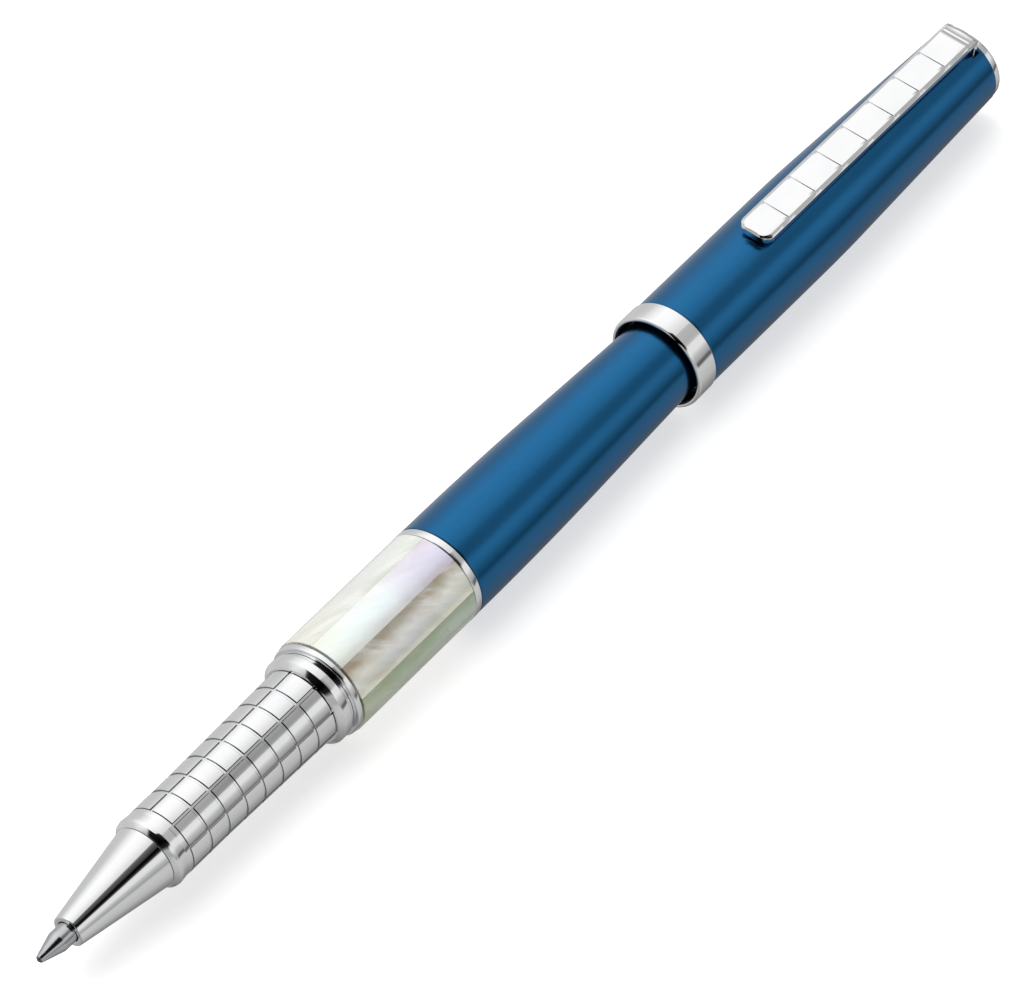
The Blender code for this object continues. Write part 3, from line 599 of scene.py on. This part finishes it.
def nose(material):
    """The nose cone: a rolled lip at the mouth, a straight cone, and the spigot inside the collar."""
    front = front_of("nose_cone")
    rear = front_of("front_collar") - HAIRLINE
    bore = POINT_RADIUS + 0.09
    outline = [
        (front, MOUTH_RADIUS, 0.13),
        (rear, NOSE_REAR_RADIUS, 0.05),
        (rear, SPIGOT_RADIUS),
        (rear_of("nose_cone"), SPIGOT_RADIUS),
        (rear_of("nose_cone"), NOSE_SPIGOT_BORE),
        (NOSE_SPIGOT_STEP, NOSE_SPIGOT_BORE),
        (NOSE_SPIGOT_STEP, NOSE_BORE_RADIUS),
        (NOSE_SEAT, NOSE_BORE_RADIUS),
        (NOSE_SEAT, bore),
        (front, bore, 0.06),
    ]
    bm = lathe(outline, FINE_TURN_STEPS)
    return piece(bm, "nose", "section", material, "chrome_trim", "nose_cone")


def collar_bead(material):
    """The bead in front of the grip, falling into a shallow waisted band."""
    front, rear = front_of("front_collar"), rear_of("front_collar")
    top = radius_of("front_collar")
    outline = [
        (front, 3.98, 0.03),
        (front + 0.46, 4.42, 0.16),
        (front + 0.85, top, 0.3),
        (front + 1.3, 4.46, 0.35),
        (front + 1.95, 4.38, 0.6),
        (rear, 4.4, 0.06),
        (rear, SECTION_BORE),
        (front, SECTION_BORE),
    ]
    bm = lathe(outline, FINE_TURN_STEPS)
    return piece(bm, "collar_bead", "section", material, "chrome_trim", "front_collar")


def groove_places(middle, scale):
    """Offsets and depths across one groove, symmetric about its middle."""
    half = [(middle + offset / scale, depth) for offset, depth in GROOVE]
    other = [(middle - offset / scale, depth) for offset, depth in GROOVE[:-1]]
    return sorted(half + other)


def grip_rows():
    """Stations and depths of the ring grooves, with a few more rows across each pad."""
    front, rear = front_of("grip_sleeve"), rear_of("grip_sleeve")
    pitch = (rear - front) / PAD_ROWS
    half_width = GROOVE[0][0]
    rows = [(front, 0.06), (front + 0.05, 0.0)]
    for row in range(PAD_ROWS):
        start = front + row * pitch
        pad = spread(start + half_width, start + pitch - half_width, PAD_POINTS)
        rows += [(station, 0.0) for station in pad[1:-1]]
        if row < PAD_ROWS - 1:
            rows += groove_places(start + pitch, 1.0)
    return rows + [(rear - 0.05, 0.0), (rear, 0.06)]


def grip_columns():
    """Angles and depths of the lengthwise grooves; a column of pads is centred on the clip's side."""
    pitch = 2 * math.pi / PAD_COLUMNS
    half_width = GROOVE[0][0] / GRIP_RADIUS
    columns = []
    for column in range(PAD_COLUMNS):
        middle = (column + 0.5) * pitch
        columns += groove_places(middle, GRIP_RADIUS)
        between = spread(middle + half_width, middle + pitch - half_width, 4 * PAD_POINTS)[1:-1]
        columns += [(angle, 0.0) for angle in between]
    return columns


def engraved_grip(material, shaded_wall_material):
    """The grip sleeve with its grid of pads, parted by channels cut round and along it."""
    bm = bmesh.new()
    columns = grip_columns()
    rings = []
    for station, ring_depth in grip_rows():
        depths = [max(ring_depth, depth) for _, depth in columns]
        surface = grip_radius(station)
        places = zip(columns, depths)
        rings.append([bm.verts.new(on_pen(station, surface - d, a)) for (a, _), d in places])
    for station in (rear_of("grip_sleeve"), front_of("grip_sleeve")):
        rings.append([bm.verts.new(on_pen(station, SECTION_BORE, a)) for a, _ in columns])
    for ring, following in zip(rings, rings[1:] + rings[:1]):
        bridge(bm, ring, following)
    mark_walls(bm)
    names = ("engraved_grip", "section", material, "engraved_chrome", "grip_sleeve")
    obj = piece(bm, *names, sharp=FINE_SHARP_DEG)
    # The channel walls take the darkened chrome: painted shade in the cuts
    obj.data.materials.append(shaded_wall_material)
    return obj


def mark_walls(bm):
    """Gives the walls of the channels the second material, a darkened chrome that paints shade into the cut.
    """
    edge_depth, floor_depth = GROOVE[1][1], GROOVE[-1][1]
    core_radius = 4.0
    for face in bm.faces:
        center = face.calc_center_median()
        depths = []
        for vert in face.verts:
            station = (vert.co.x - TIP_X) / MM
            depths.append(grip_radius(station) - math.hypot(vert.co.y, vert.co.z - AXIS_Z) / MM)
        is_wall = min(depths) < floor_depth - 0.01 and max(depths) > edge_depth + 0.01
        inside = math.hypot(center.y, center.z - AXIS_Z) / MM < core_radius
        face.material_index = 1 if is_wall and not inside else 0


def snap_ring(material):
    """The collar that the cap snaps on: a chamfered flange and the neck behind it."""
    front, rear = front_of("snap_collar"), rear_of("snap_collar")
    top = radius_of("snap_collar")
    outline = [
        (front, 4.96, 0.04),
        (front + 0.08, 5.06, 0.04),
        (front + 0.62, top, 0.12),
        (rear - 0.55, top, 0.12),
        (rear - 0.55, SNAP_NECK_RADIUS, 0.05),
        (rear, SNAP_NECK_RADIUS),
        (rear, SECTION_BORE),
        (front, SECTION_BORE),
    ]
    bm = lathe(outline, FINE_TURN_STEPS)
    return piece(bm, "snap_ring", "section", material, "chrome_trim", "snap_collar")


def plain_ring(node, name, body, edge, bore, material):
    front, rear, top = front_of(node), rear_of(node), radius_of(node)
    outline = [(front, top, edge), (rear, top, edge), (rear, bore), (front, bore)]
    return piece(lathe(outline, FINE_TURN_STEPS), name, body, material, "chrome_trim", node)


def threaded_tube(material):
    """The brass core of the section, whose rear carries the thread as one helical ridge."""
    front, rear = front_of("section_tube"), rear_of("section_tube")
    crest = radius_of("section_tube")
    root = crest - THREAD_HEIGHT
    thread_front = rear_of("section_ring") + THREAD_PITCH
    outline = [
        (front, TUBE_RADIUS, 0.1),
        (thread_front, TUBE_RADIUS, 0.05),
        (thread_front, root, 0.05),
        (rear, root, 0.15),
        (rear, TUBE_BORE, 0.1),
        (front, TUBE_BORE, 0.1),
    ]
    bm = lathe(outline)
    turns = (rear - thread_front - 2 * THREAD_PITCH) / THREAD_PITCH
    centers, frames = [], []
    for turn in spread(0.0, turns, int(turns * 64) + 1):
        rise = min(1.0, 3 * turn, 3 * (turns - turn))
        radius = root - THREAD_HEIGHT * (1 - rise)
        angle = 2 * math.pi * turn
        centers.append(on_pen(thread_front + THREAD_PITCH * (1 + turn), radius, angle))
        outward = on_pen(0.0, 1.0, angle) - on_pen(0.0, 0.0, angle)
        frames.append((Vector((1.0, 0.0, 0.0)), outward.normalized()))
    half = THREAD_PITCH * 0.46
    crest_half = THREAD_PITCH * 0.08
    height = THREAD_HEIGHT - 0.01
    section = [(-half, -0.05), (-crest_half, height), (crest_half, height), (half, -0.05)]
    sweep(bm, centers, frames, [(x * MM, y * MM) for x, y in section])
    return piece(bm, "threaded_tube", "section", material, "brass_core", "section_tube")


# Barrel ------------------------------------------------------------------------------------------


def stave(index):
    """One curved stave of polished shell, with softened edges."""
    node = f"pearl_stave_{index + 1}"
    front, rear = front_of(node), rear_of(node)
    width = 2 * math.pi / STAVES
    gap = math.radians(STAVE_GAP_DEG) / 2
    start = math.radians(FIRST_JOINT_DEG) + index * width + gap
    end = start + width - 2 * gap
    outer = radius_of("trim_ring") - 0.02
    inner = outer - STAVE_THICKNESS
    soft = 0.03
    angles = spread(start, end, STAVE_STEPS + 1)
    bm = bmesh.new()
    loops = []
    for station, drop in [(front, soft), (front + soft, 0.0), (rear - soft, 0.0), (rear, soft)]:
        surface = [on_pen(station, outer - drop, a) for a in angles]
        back = [on_pen(station, inner, a) for a in reversed(angles)]
        loops.append([bm.verts.new(p) for p in surface + back])
    for loop, following in zip(loops, loops[1:]):
        bridge(bm, loop, following)
    for loop in (loops[0], loops[-1]):
        for i in range(STAVE_STEPS):
            bm.faces.new((loop[i], loop[i + 1], loop[-2 - i], loop[-1 - i]))
    return piece(bm, f"shell_stave_{index + 1}", "barrel", pearl(index), "pearl_shell", node)


def barrel_tube(material):
    """The lacquered barrel."""
    front, rear = front_of("barrel_shell"), rear_of("barrel_shell")
    places = spread(front + 0.3, rear, 28)
    outline = [(front, BARREL_RADIUS, 0.07)]
    outline += [(s, barrel_radius(s)) for s in places]
    outline += [(rear, barrel_radius(rear) - BARREL_WALL)]
    outline += [(s, barrel_radius(s) - BARREL_WALL) for s in reversed(places[:-1])]
    outline += [(front, BARREL_RADIUS - BARREL_WALL)]
    bm = lathe(outline, FINE_TURN_STEPS)
    return piece(bm, "barrel_tube", "barrel", material, "blue_lacquer", "barrel_shell")


def end_plug(material):
    """The domed plug at the barrel's rear, seen when the cap is off."""
    front, rear = front_of("barrel_end_plug"), rear_of("barrel_end_plug")
    flange = rear_of("barrel_shell") + HAIRLINE
    rim = radius_of("barrel_end_plug")
    outline = [
        (front, 0.0),
        (front, SPIGOT_RADIUS, 0.1),
        (flange, SPIGOT_RADIUS),
        (flange, rim, 0.05),
        (flange + 0.35, rim - 0.02, 0.05),
        (flange + 0.45, rim - 0.12, 0.05),
        (flange + 0.9, rim - 0.14, 0.1),
        (rear - 0.25, rim - 0.7, 0.8),
        (rear, 1.6, 0.8),
        (rear, 0.0),
    ]
    return piece(lathe(outline), "end_plug", "barrel", material, "chrome_trim", "barrel_end_plug")


# Cap ---------------------------------------------------------------------------------------------


def lip_band(material):
    """The plain band at the cap's mouth: a rounded lip, a cylinder and a bright rear edge."""
    front = front_of("cap_lip_ring")
    band_rear = front_of("cap_shell") - HAIRLINE
    top = radius_of("cap_lip_ring")
    spigot_rear = rear_of("cap_lip_ring")
    outline = [
        (front, top - 0.24, 0.05),
        (front + 0.1, top - 0.07, 0.07),
        (front + 0.34, top, 0.08),
        (band_rear - 0.22, top - 0.02, 0.06),
        (band_rear, top - 0.16, 0.03),
        (band_rear, LIP_SPIGOT_RADIUS),
        (spigot_rear, LIP_SPIGOT_RADIUS),
        (spigot_rear, LIP_SPIGOT_BORE),
        (band_rear - LIP_STEP, LIP_SPIGOT_BORE, 0.05),
        (band_rear - LIP_STEP, LIP_BORE, 0.05),
        (front, LIP_BORE, 0.1),
    ]
    bm = lathe(outline, FINE_TURN_STEPS)
    return piece(bm, "lip_band", "cap", material, "chrome_trim", "cap_lip_ring")


def lip_shade_lining(material):
    """A black sleeve inside the cap's mouth, which turns in against the spigot's step. It is not a CAD part:
    it darkens the gap at the lip as painted shade.
    """
    front = front_of("cap_lip_ring") + 0.3
    rear = front_of("cap_shell") - HAIRLINE - LIP_STEP - 0.01
    outer = LIP_BORE - 0.01
    inner = outer - LINING
    mouth = LIP_SPIGOT_BORE + 0.04
    outline = [
        (front, outer, 0.03),
        (rear, outer),
        (rear, mouth, 0.05),
        (rear - LINING, mouth, 0.03),
        (rear - LINING, inner, 0.05),
        (front, inner, 0.03),
    ]
    return piece(lathe(outline), "lip_shade_lining", "cap", material, "dark_plastic")


def cap_tube(material):
    """The lacquered cap, with the slot that the clip's leg goes through."""
    front, rear = front_of("cap_shell"), rear_of("cap_shell")
    places = spread(front + 0.3, rear - 0.3, 24)
    outline = [(front, CAP_RADIUS, 0.06)]
    outline += [(s, cap_radius(s)) for s in places]
    outline += [(rear, cap_radius(rear), 0.06), (rear, cap_radius(rear) - CAP_WALL)]
    outline += [(s, cap_radius(s) - CAP_WALL) for s in reversed(places)]
    outline += [(front, CAP_RADIUS - CAP_WALL)]
    bm = lathe(outline, FINE_TURN_STEPS)
    cut_slot(bm)
    return piece(bm, "cap_tube", "cap", material, "blue_lacquer", "cap_shell")


def cut_slot(bm):
    """Cuts the clip's slot out of the cap's wall with an exact Boolean."""
    low = on_pen(CLIP_SLOT[0], CLIP_SLOT_RADII[0], 0.0)
    high = on_pen(CLIP_SLOT[1], CLIP_SLOT_RADII[1], 0.0)
    size = Vector((high.x - low.x, CLIP_SLOT_WIDTH * MM, high.z - low.z))
    placed = Matrix.Translation((low + high) / 2) @ Matrix.Diagonal((*size, 1.0))
    cutter_bm = bmesh.new()
    bmesh.ops.create_cube(cutter_bm, matrix=placed)
    cutter = temporary(cutter_bm, "slot_cutter")
    bmesh.ops.recalc_face_normals(bm, faces=bm.faces)
    whole = temporary(bm.copy(), "whole_cap")
    cut = whole.modifiers.new("slot", "BOOLEAN")
    cut.operation = "DIFFERENCE"
    cut.solver = "EXACT"
    cut.object = cutter
    bpy.context.view_layer.update()
    graph = bpy.context.evaluated_depsgraph_get()
    bm.clear()
    bm.from_mesh(whole.evaluated_get(graph).to_mesh())
    for obj in (whole, cutter):
        bpy.data.objects.remove(obj, do_unlink=True)


def temporary(bm, name):
    mesh = bpy.data.meshes.new(name)
    bm.to_mesh(mesh)
    bm.free()
    obj = bpy.data.objects.new(name, mesh)
    bpy.context.scene.collection.objects.link(obj)
    return obj


def end_disc(material):
    """The polished disc that closes the cap: a rounded rim and a fine ring round its flat face."""
    front, rear = front_of("cap_end_disc"), rear_of("cap_end_disc")
    top = radius_of("cap_end_disc")
    seat = rear_of("cap_shell") + HAIRLINE
    outline = [
        (front, DISC_SCREW_HOLE),
        (front, DISC_SPIGOT_RADIUS),
        (seat, DISC_SPIGOT_RADIUS),
        (seat, top, 0.05),
        (rear, top, 0.32),
        (rear, 3.72),
        (rear - 0.06, 3.66),
        (rear - 0.06, 3.54),
        (rear, 3.48),
        (rear, 0.0),
        (rear - 0.8, 0.0),
        (rear - 0.8, DISC_SCREW_HOLE),
    ]
    bm = lathe(outline, FINE_TURN_STEPS)
    return piece(bm, "end_disc", "cap", material, "chrome_trim", "cap_end_disc")


# Clip --------------------------------------------------------------------------------------------


def clip_straight():
    """The length of the arm in front of its bend."""
    return rear_of("clip_arm") - front_of("clip_arm") - CLIP_BEND_LENGTH


def clip_top():
    return (box("clip_arm")[1].z - AXIS_Z) / MM


def clip_half_width():
    return (box("clip_arm")[1].y - box("clip_arm")[0].y) / 2 / MM


def clip_leg():
    return clip_top() - CLIP_BEND_DROP - CLIP_FOOT


def clip_rows():
    """Distances from the free end of the rows across the clip, and how deep each is engraved."""
    straight = clip_straight()
    rows = [(CLIP_CORNER + 0.3, 0.0), (2.5, 0.0), (3.4, 0.0)]
    for line in range(CLIP_LINES):
        middle = CLIP_FIRST_LINE + line * CLIP_PANEL
        rows += [(middle + offset, depth) for offset, depth in CLIP_LINE]
        rows += [(middle - offset, depth) for offset, depth in CLIP_LINE[:-1]]
        rows += [(middle + CLIP_PANEL * share, 0.0) for share in (0.25, 0.5, 0.75)]
    ridge = CLIP_FIRST_LINE + CLIP_LINES * CLIP_PANEL
    last = ridge + CLIP_RIDGE[0][0] - 0.05
    rows = [(along, depth) for along, depth in sorted(rows) if along < last]
    rows += [(ridge + offset, depth) for offset, depth in CLIP_RIDGE]
    hollow = CLIP_RIDGE[-1][1]
    rows += [(along, hollow) for along in spread(straight, straight + CLIP_BEND_ARC, 15)]
    bent = straight + CLIP_BEND_ARC
    return rows + [(bent + clip_leg() / 2, 0.0), (bent + clip_leg(), 0.0)]


def clip_point(along, across, drop):
    """A point of the clip: distance from its free end along its top, across it, and below its top."""
    front, straight, top = front_of("clip_arm"), clip_straight(), clip_top()
    if along <= straight:
        return on_pen(front + along, top - drop, 0.0) + Vector((0.0, across * MM, 0.0))
    turn = min((along - straight) / CLIP_BEND_ARC, 1.0) * math.pi / 2
    center = top - max(CLIP_BEND_DROP, drop + 0.1)
    station = front + straight + (CLIP_BEND_LENGTH - drop) * math.sin(turn)
    down = max(0.0, along - straight - CLIP_BEND_ARC) / clip_leg()
    height = center + (top - drop - center) * math.cos(turn) - down * (center - CLIP_FOOT)
    return on_pen(station, height, 0.0) + Vector((0.0, across * MM, 0.0))


def shoulder(along):
    """How far the edges are rounded off at the bend, from 0 on the arm to 1 on the leg."""
    return smooth((along - clip_straight() + 0.2) / CLIP_BEND_ARC)


def clip_outline(inset):
    """One edge loop of the clip in plan, from the leg's foot round the free end and back to the foot.

    Its points are (along, across, depth).
    """
    half = clip_half_width()
    corner = CLIP_CORNER - inset
    side = [(u, inset - half, depth) for u, depth in clip_rows()]
    angles = spread(0.0, math.pi / 2, 9)
    end = CLIP_TIP_INSET * inset
    reach = CLIP_CORNER - end
    center = CLIP_CORNER - half
    near = [(CLIP_CORNER - reach * math.sin(a), center - corner * math.cos(a), 0.0) for a in angles]
    end_half = half - CLIP_CORNER
    tip = [(end, y, 0.0) for y in spread(-end_half, end_half, CLIP_COLUMNS - 1)[1:-1]]
    loop = list(reversed(side)) + near + tip
    far = [(u, -y, depth) for u, y, depth in reversed(list(reversed(side)) + near)]
    return loop + far


def bowed(along, across, half):
    """The engraved lines bow a little towards the free end, and their rows with them."""
    fade = smooth((along - 2 * CLIP_CORNER) / CLIP_CORNER) * smooth((clip_straight() - along) / 0.5)
    return along - CLIP_LINE_BOW * (1 - (across / half) ** 2) * fade


def cut_share(level, along):
    """How much of a cut's depth a level takes: lines end at the top's edge, hollows in the bevel."""
    ridge = CLIP_FIRST_LINE + CLIP_LINES * CLIP_PANEL
    if level == 0:
        return 1.0
    return 0.5 if level == 1 and along > ridge + CLIP_RIDGE[0][0] else 0.0


def panelled_clip(material):
    """The clip: engraved panels along its top, a bevelled edge, and a leg bent down into the cap."""
    half = clip_half_width()
    bm = bmesh.new()
    loops = []
    for level, (inset, drop) in enumerate(CLIP_LEVELS):
        loop = []
        for along, across, depth in clip_outline(inset):
            rounding = shoulder(along) * max(0.0, 1.0 - level / 4)
            narrowed = across * (1 - rounding * CLIP_SHOULDER[0] / half)
            lowered = drop + depth * cut_share(level, along) + rounding * CLIP_SHOULDER[1]
            loop.append(bm.verts.new(clip_point(bowed(along, across, half), narrowed, lowered)))
        loops.append(loop)
    for loop, following in zip(loops, loops[1:]):
        for i in range(len(loop) - 1):
            bm.faces.new((loop[i], loop[i + 1], following[i + 1], following[i]))
    top, bottom = CLIP_LEVELS[0], CLIP_LEVELS[-1]
    fill_across(bm, loops[0], top, 1.0)
    fill_across(bm, loops[-1], bottom, 0.0)
    bm.faces.new([loop[0] for loop in loops] + [loop[-1] for loop in reversed(loops)])
    bmesh.ops.remove_doubles(bm, verts=bm.verts, dist=WELD)
    names = ("panelled_clip", "clip", material, "chrome_trim", "clip_arm")
    return piece(bm, *names, sharp=FINE_SHARP_DEG)


def fill_across(bm, loop, level, crowned):
    """Fills between the near and far sides of a loop, row by row, up to the flat end."""
    inset, drop = level
    half = clip_half_width()
    outline = clip_outline(inset)
    sides = len(clip_rows()) + 9
    previous = None
    for i in range(sides):
        along, across, depth = outline[i]
        rounding = shoulder(along) * crowned
        narrowed = 1 - rounding * CLIP_SHOULDER[0] / half
        row = [loop[i]]
        if i == sides - 1:
            row += loop[sides:-sides]
        else:
            for y in spread(across, -across, CLIP_COLUMNS - 1)[1:-1]:
                edge = (y / across) ** 2
                crown = crowned * CLIP_CROWN * (1 - edge)
                lowered = drop + depth - crown + rounding * CLIP_SHOULDER[1] * edge
                point = clip_point(bowed(along, y, half), y * narrowed, lowered)
                row.append(bm.verts.new(point))
        row.append(loop[-1 - i])
        if previous:
            for a, b, c, d in zip(previous, previous[1:], row[1:], row):
                bm.faces.new((a, b, c, d))
        previous = row


# Camera and studio -------------------------------------------------------------------------------


def camera():
    """A long lens that sees the pen as the photograph does; its angles are those of a view, in degrees."""
    azimuth, elevation = math.radians(CAMERA_AZIMUTH), math.radians(CAMERA_ELEVATION)
    roll = math.radians(CAMERA_ROLL)
    back = Vector(
        (
            math.sin(azimuth) * math.cos(elevation),
            -math.cos(azimuth) * math.cos(elevation),
            math.sin(elevation),
        )
    )
    level = Vector((math.cos(azimuth), math.sin(azimuth), 0.0))
    upright = back.cross(level)
    right = math.cos(roll) * level + math.sin(roll) * upright
    up = back.cross(right)
    aim = Vector((CAMERA_AIM[0] * MM, CAMERA_AIM[1] * MM, AXIS_Z + CAMERA_AIM[2] * MM))
    data = bpy.data.cameras.new("camera")
    data.sensor_fit = "HORIZONTAL"
    data.sensor_width = CAMERA_SENSOR
    data.lens = CAMERA_LENS
    data.clip_start = 0.01
    data.clip_end = 20.0
    obj = bpy.data.objects.new("camera", data)
    bpy.context.scene.collection.objects.link(obj)
    turned = Matrix((right, up, back)).transposed().to_4x4()
    obj.matrix_world = Matrix.Translation(aim + back * CAMERA_DISTANCE * MM) @ turned
    bpy.context.scene.camera = obj


def floor():
    """A pale floor that glows a little, so that it is white in the picture, and isn't seen in the chrome."""
    finish = Finish("pale_floor", {"Roughness": 0.6, "Emission Strength": FLOOR_GLOW})
    grain = finish.noise(finish.stretched(60.0, 60.0), detail=2.0)
    finish.drive("Base Color", finish.ramp(grain, (0.3, 0.6), (0.7, 0.62)))
    bm = bmesh.new()
    bmesh.ops.create_grid(bm, x_segments=1, y_segments=1, size=FLOOR_REACH)
    obj = temporary(bm, "floor")
    obj.location.z = CAD_BOX[0][2]
    obj.data.materials.append(finish.material)
    obj.visible_glossy = False


# The studio round the pen, by the angle from straight overhead towards -Y, in degrees: a broad soft box
# overhead, a grey wall beyond the pen, a pale one nearer, and a grey table below
STUDIO = (
    (-180, 0.2),
    (-150, 0.44),
    (-127, 0.62),
    (-102, 0.6),
    (-80, 0.66),
    (-68, 0.84),
    (-55, 1.0),
    (-44, 1.13),
    (-22, 1.08),
    (-12, 1.0),
    (-3, 0.9),
    (7, 0.79),
    (16, 0.73),
    (36, 0.73),
    (50, 0.84),
    (62, 0.84),
    (73, 0.54),
    (83, 0.4),
    (87, 0.38),
    (92, 0.6),
    (106, 0.6),
    (133, 0.5),
    (152, 0.34),
    (180, 0.2),
)
# The dark gap that the camera looks through, across it in units of its half width
GAP = ((-1.06, 0.0), (-0.94, 0.85), (-0.8, 0.98), (0.3, 1.0), (0.78, 0.97), (0.93, 0.62), (1.08, 0.0))
GAP_SPREAD = 1.6
# A grey card that closes its far half, seen only by surfaces that lean a little towards the tip
CARD = ((-1.0, 0.0), (-0.85, 0.2), (-0.6, 0.13), (-0.1, 0.07), (0.15, 0.0))
# A thin dark stand beside the table, seen only towards the cap's end
STAND = ((84, 0.0), (90, 1.0), (95, 1.0), (100, 0.0))
# The grey walls beyond the pen's two ends
END_WALL = 0.44


class Studio(Shading):
    """The world's shader: light by its direction round the pen, and by how far it comes along the pen."""

    def __init__(self):
        world = bpy.data.worlds.new("studio")
        world.use_nodes = True
        bpy.context.scene.world = world
        super().__init__(world.node_tree)
        direction = self.nodes.new("ShaderNodeTexCoord").outputs["Generated"]
        parts = self.nodes.new("ShaderNodeSeparateXYZ")
        self.links.new(direction, parts.inputs[0])
        self.along = parts.outputs["X"]
        toward = self.number("MULTIPLY", parts.outputs["Y"], -1.0)
        angle = self.number("ARCTAN2", toward, parts.outputs["Z"])
        self.angle = self.number("MULTIPLY", angle, math.degrees(1.0))
        background = self.nodes["Background"]
        background.inputs["Strength"].default_value = 1.0
        self.links.new(self.light(), background.inputs["Color"])

    def between(self, value, start, end, low, high):
        """A smooth step from low to high while the value goes from start to end."""
        node = self.nodes.new("ShaderNodeMapRange")
        node.interpolation_type = "SMOOTHSTEP"
        self.links.new(value, node.inputs["Value"])
        limits = {"From Min": start, "From Max": end, "To Min": low, "To Max": high}
        for name, limit in limits.items():
            node.inputs[name].default_value = limit
        return node.outputs["Result"]

    def curve(self, value, reach, stops):
        """A brightness read off a list of (value, brightness) stops between -reach and reach."""
        node = self.nodes.new("ShaderNodeValToRGB")
        elements = node.color_ramp.elements
        while len(elements) < len(stops):
            elements.new(1.0)
        for element, (place, brightness) in zip(elements, stops):
            element.position = place / reach / 2 + 0.5
            element.color = (brightness, brightness, brightness, 1.0)
        self.links.new(self.number("MULTIPLY_ADD", value, 0.5 / reach, 0.5), node.inputs["Fac"])
        return node.outputs["Color"]

    def light(self):
        center = self.between(self.along, -0.6, 0.3, 13.0, 29.0)
        half = self.between(self.along, -0.6, 0.3, 47.0, 16.5)
        across = self.number("DIVIDE", self.number("SUBTRACT", self.angle, center), half)
        depth = self.between(self.along, 0.33, 0.52, 1.0, 0.36)
        card = self.between(self.along, 0.0, 0.18, 0.0, 1.0)
        card = self.number("MULTIPLY", self.curve(across, GAP_SPREAD, CARD), card)
        gap = self.number("SUBTRACT", self.curve(across, GAP_SPREAD, GAP), card)
        gap = self.number("MULTIPLY", gap, depth)
        stand_depth = self.between(self.along, 0.3, 0.5, 0.0, 0.78)
        stand = self.number("MULTIPLY", self.curve(self.angle, 180, STAND), stand_depth)
        room = self.curve(self.angle, 180, STUDIO)
        ends = self.between(self.number("ABSOLUTE", self.along), 0.64, 0.86, 1.0, 0.0)
        room = self.number("MULTIPLY", self.number("SUBTRACT", room, END_WALL), ends)
        room = self.number("ADD", room, END_WALL)
        past_gap = self.number("SUBTRACT", 1.0, gap)
        past_stand = self.number("SUBTRACT", 1.0, stand)
        return self.number("MULTIPLY", room, self.number("MULTIPLY", past_gap, past_stand))


def key_light():
    """A large soft box overhead, on the far side, that whitens the floor and gives a faint shadow."""
    data = bpy.data.lights.new("key", "AREA")
    data.shape = "SQUARE"
    data.size = KEY_SIZE
    data.energy = KEY_WATTS
    obj = bpy.data.objects.new("key", data)
    bpy.context.scene.collection.objects.link(obj)
    obj.location = KEY_PLACE
    direction = Vector((0.0, 0.0, 0.0)) - obj.location
    obj.rotation_euler = direction.to_track_quat("-Z", "Y").to_euler()
    obj.visible_glossy = False


def build():
    polished = chrome("polished_chrome")
    engraved = chrome("engraved_chrome", low=0.03, high=0.08)
    steel = turned_steel("turned_steel", (0.62, 0.63, 0.65), 0.1, 0.2)
    carbide = turned_steel("carbide", (0.2, 0.2, 0.21), 0.2, 0.32)
    brass = turned_steel("turned_brass", (0.78, 0.58, 0.28), 0.2, 0.36)
    blue = lacquer("blue_lacquer")
    black = plastic("black_plastic", (0.02, 0.02, 0.022))
    ink = plastic("ink_fibre", (0.012, 0.012, 0.03), 0.8)
    tube = plastic("tube_plastic", (0.62, 0.64, 0.68), 0.35)

    writing_ball(carbide)
    refill_point(steel)
    spring_wire(steel)
    nose(polished)
    collar_bead(polished)
    # The channel walls' chrome is darkened to 0.27 of its brightness as painted shade in the cuts
    engraved_grip(engraved, chrome("engraved_walls_painted_shade", low=0.1, high=0.2, tone=0.27))
    snap_ring(polished)
    plain_ring("section_ring", "band_ring", "section", 0.2, SECTION_BORE, polished)
    threaded_tube(brass)
    for index in range(STAVES):
        stave(index)
    plain_ring("trim_ring", "thin_ring", "barrel", 0.14, TRIM_BORE, polished)
    barrel_tube(blue)
    end_plug(polished)
    lip_band(polished)
    # A black sleeve, not in the CAD model, that paints shade into the gap at the cap's mouth
    lip_shade_lining(black)
    cap_tube(blue)
    end_disc(polished)
    panelled_clip(polished)

    finishes = {
        "refill_holder": black,
        "refill_plug": black,
        "spring_stop": black,
        "cap_liner": black,
        "cap_plug": black,
        "ink_core": ink,
        "refill_tube": tube,
        "barrel_liner": brass,
        "barrel_bushing": brass,
        "clip_tang": polished,
        "cap_screw": steel,
    }
    for node, material in finishes.items():
        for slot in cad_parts[node].material_slots:
            slot.material = material


build()
camera()
Studio()
floor()
key_light()
bpy.context.scene.view_settings.view_transform = "Standard"
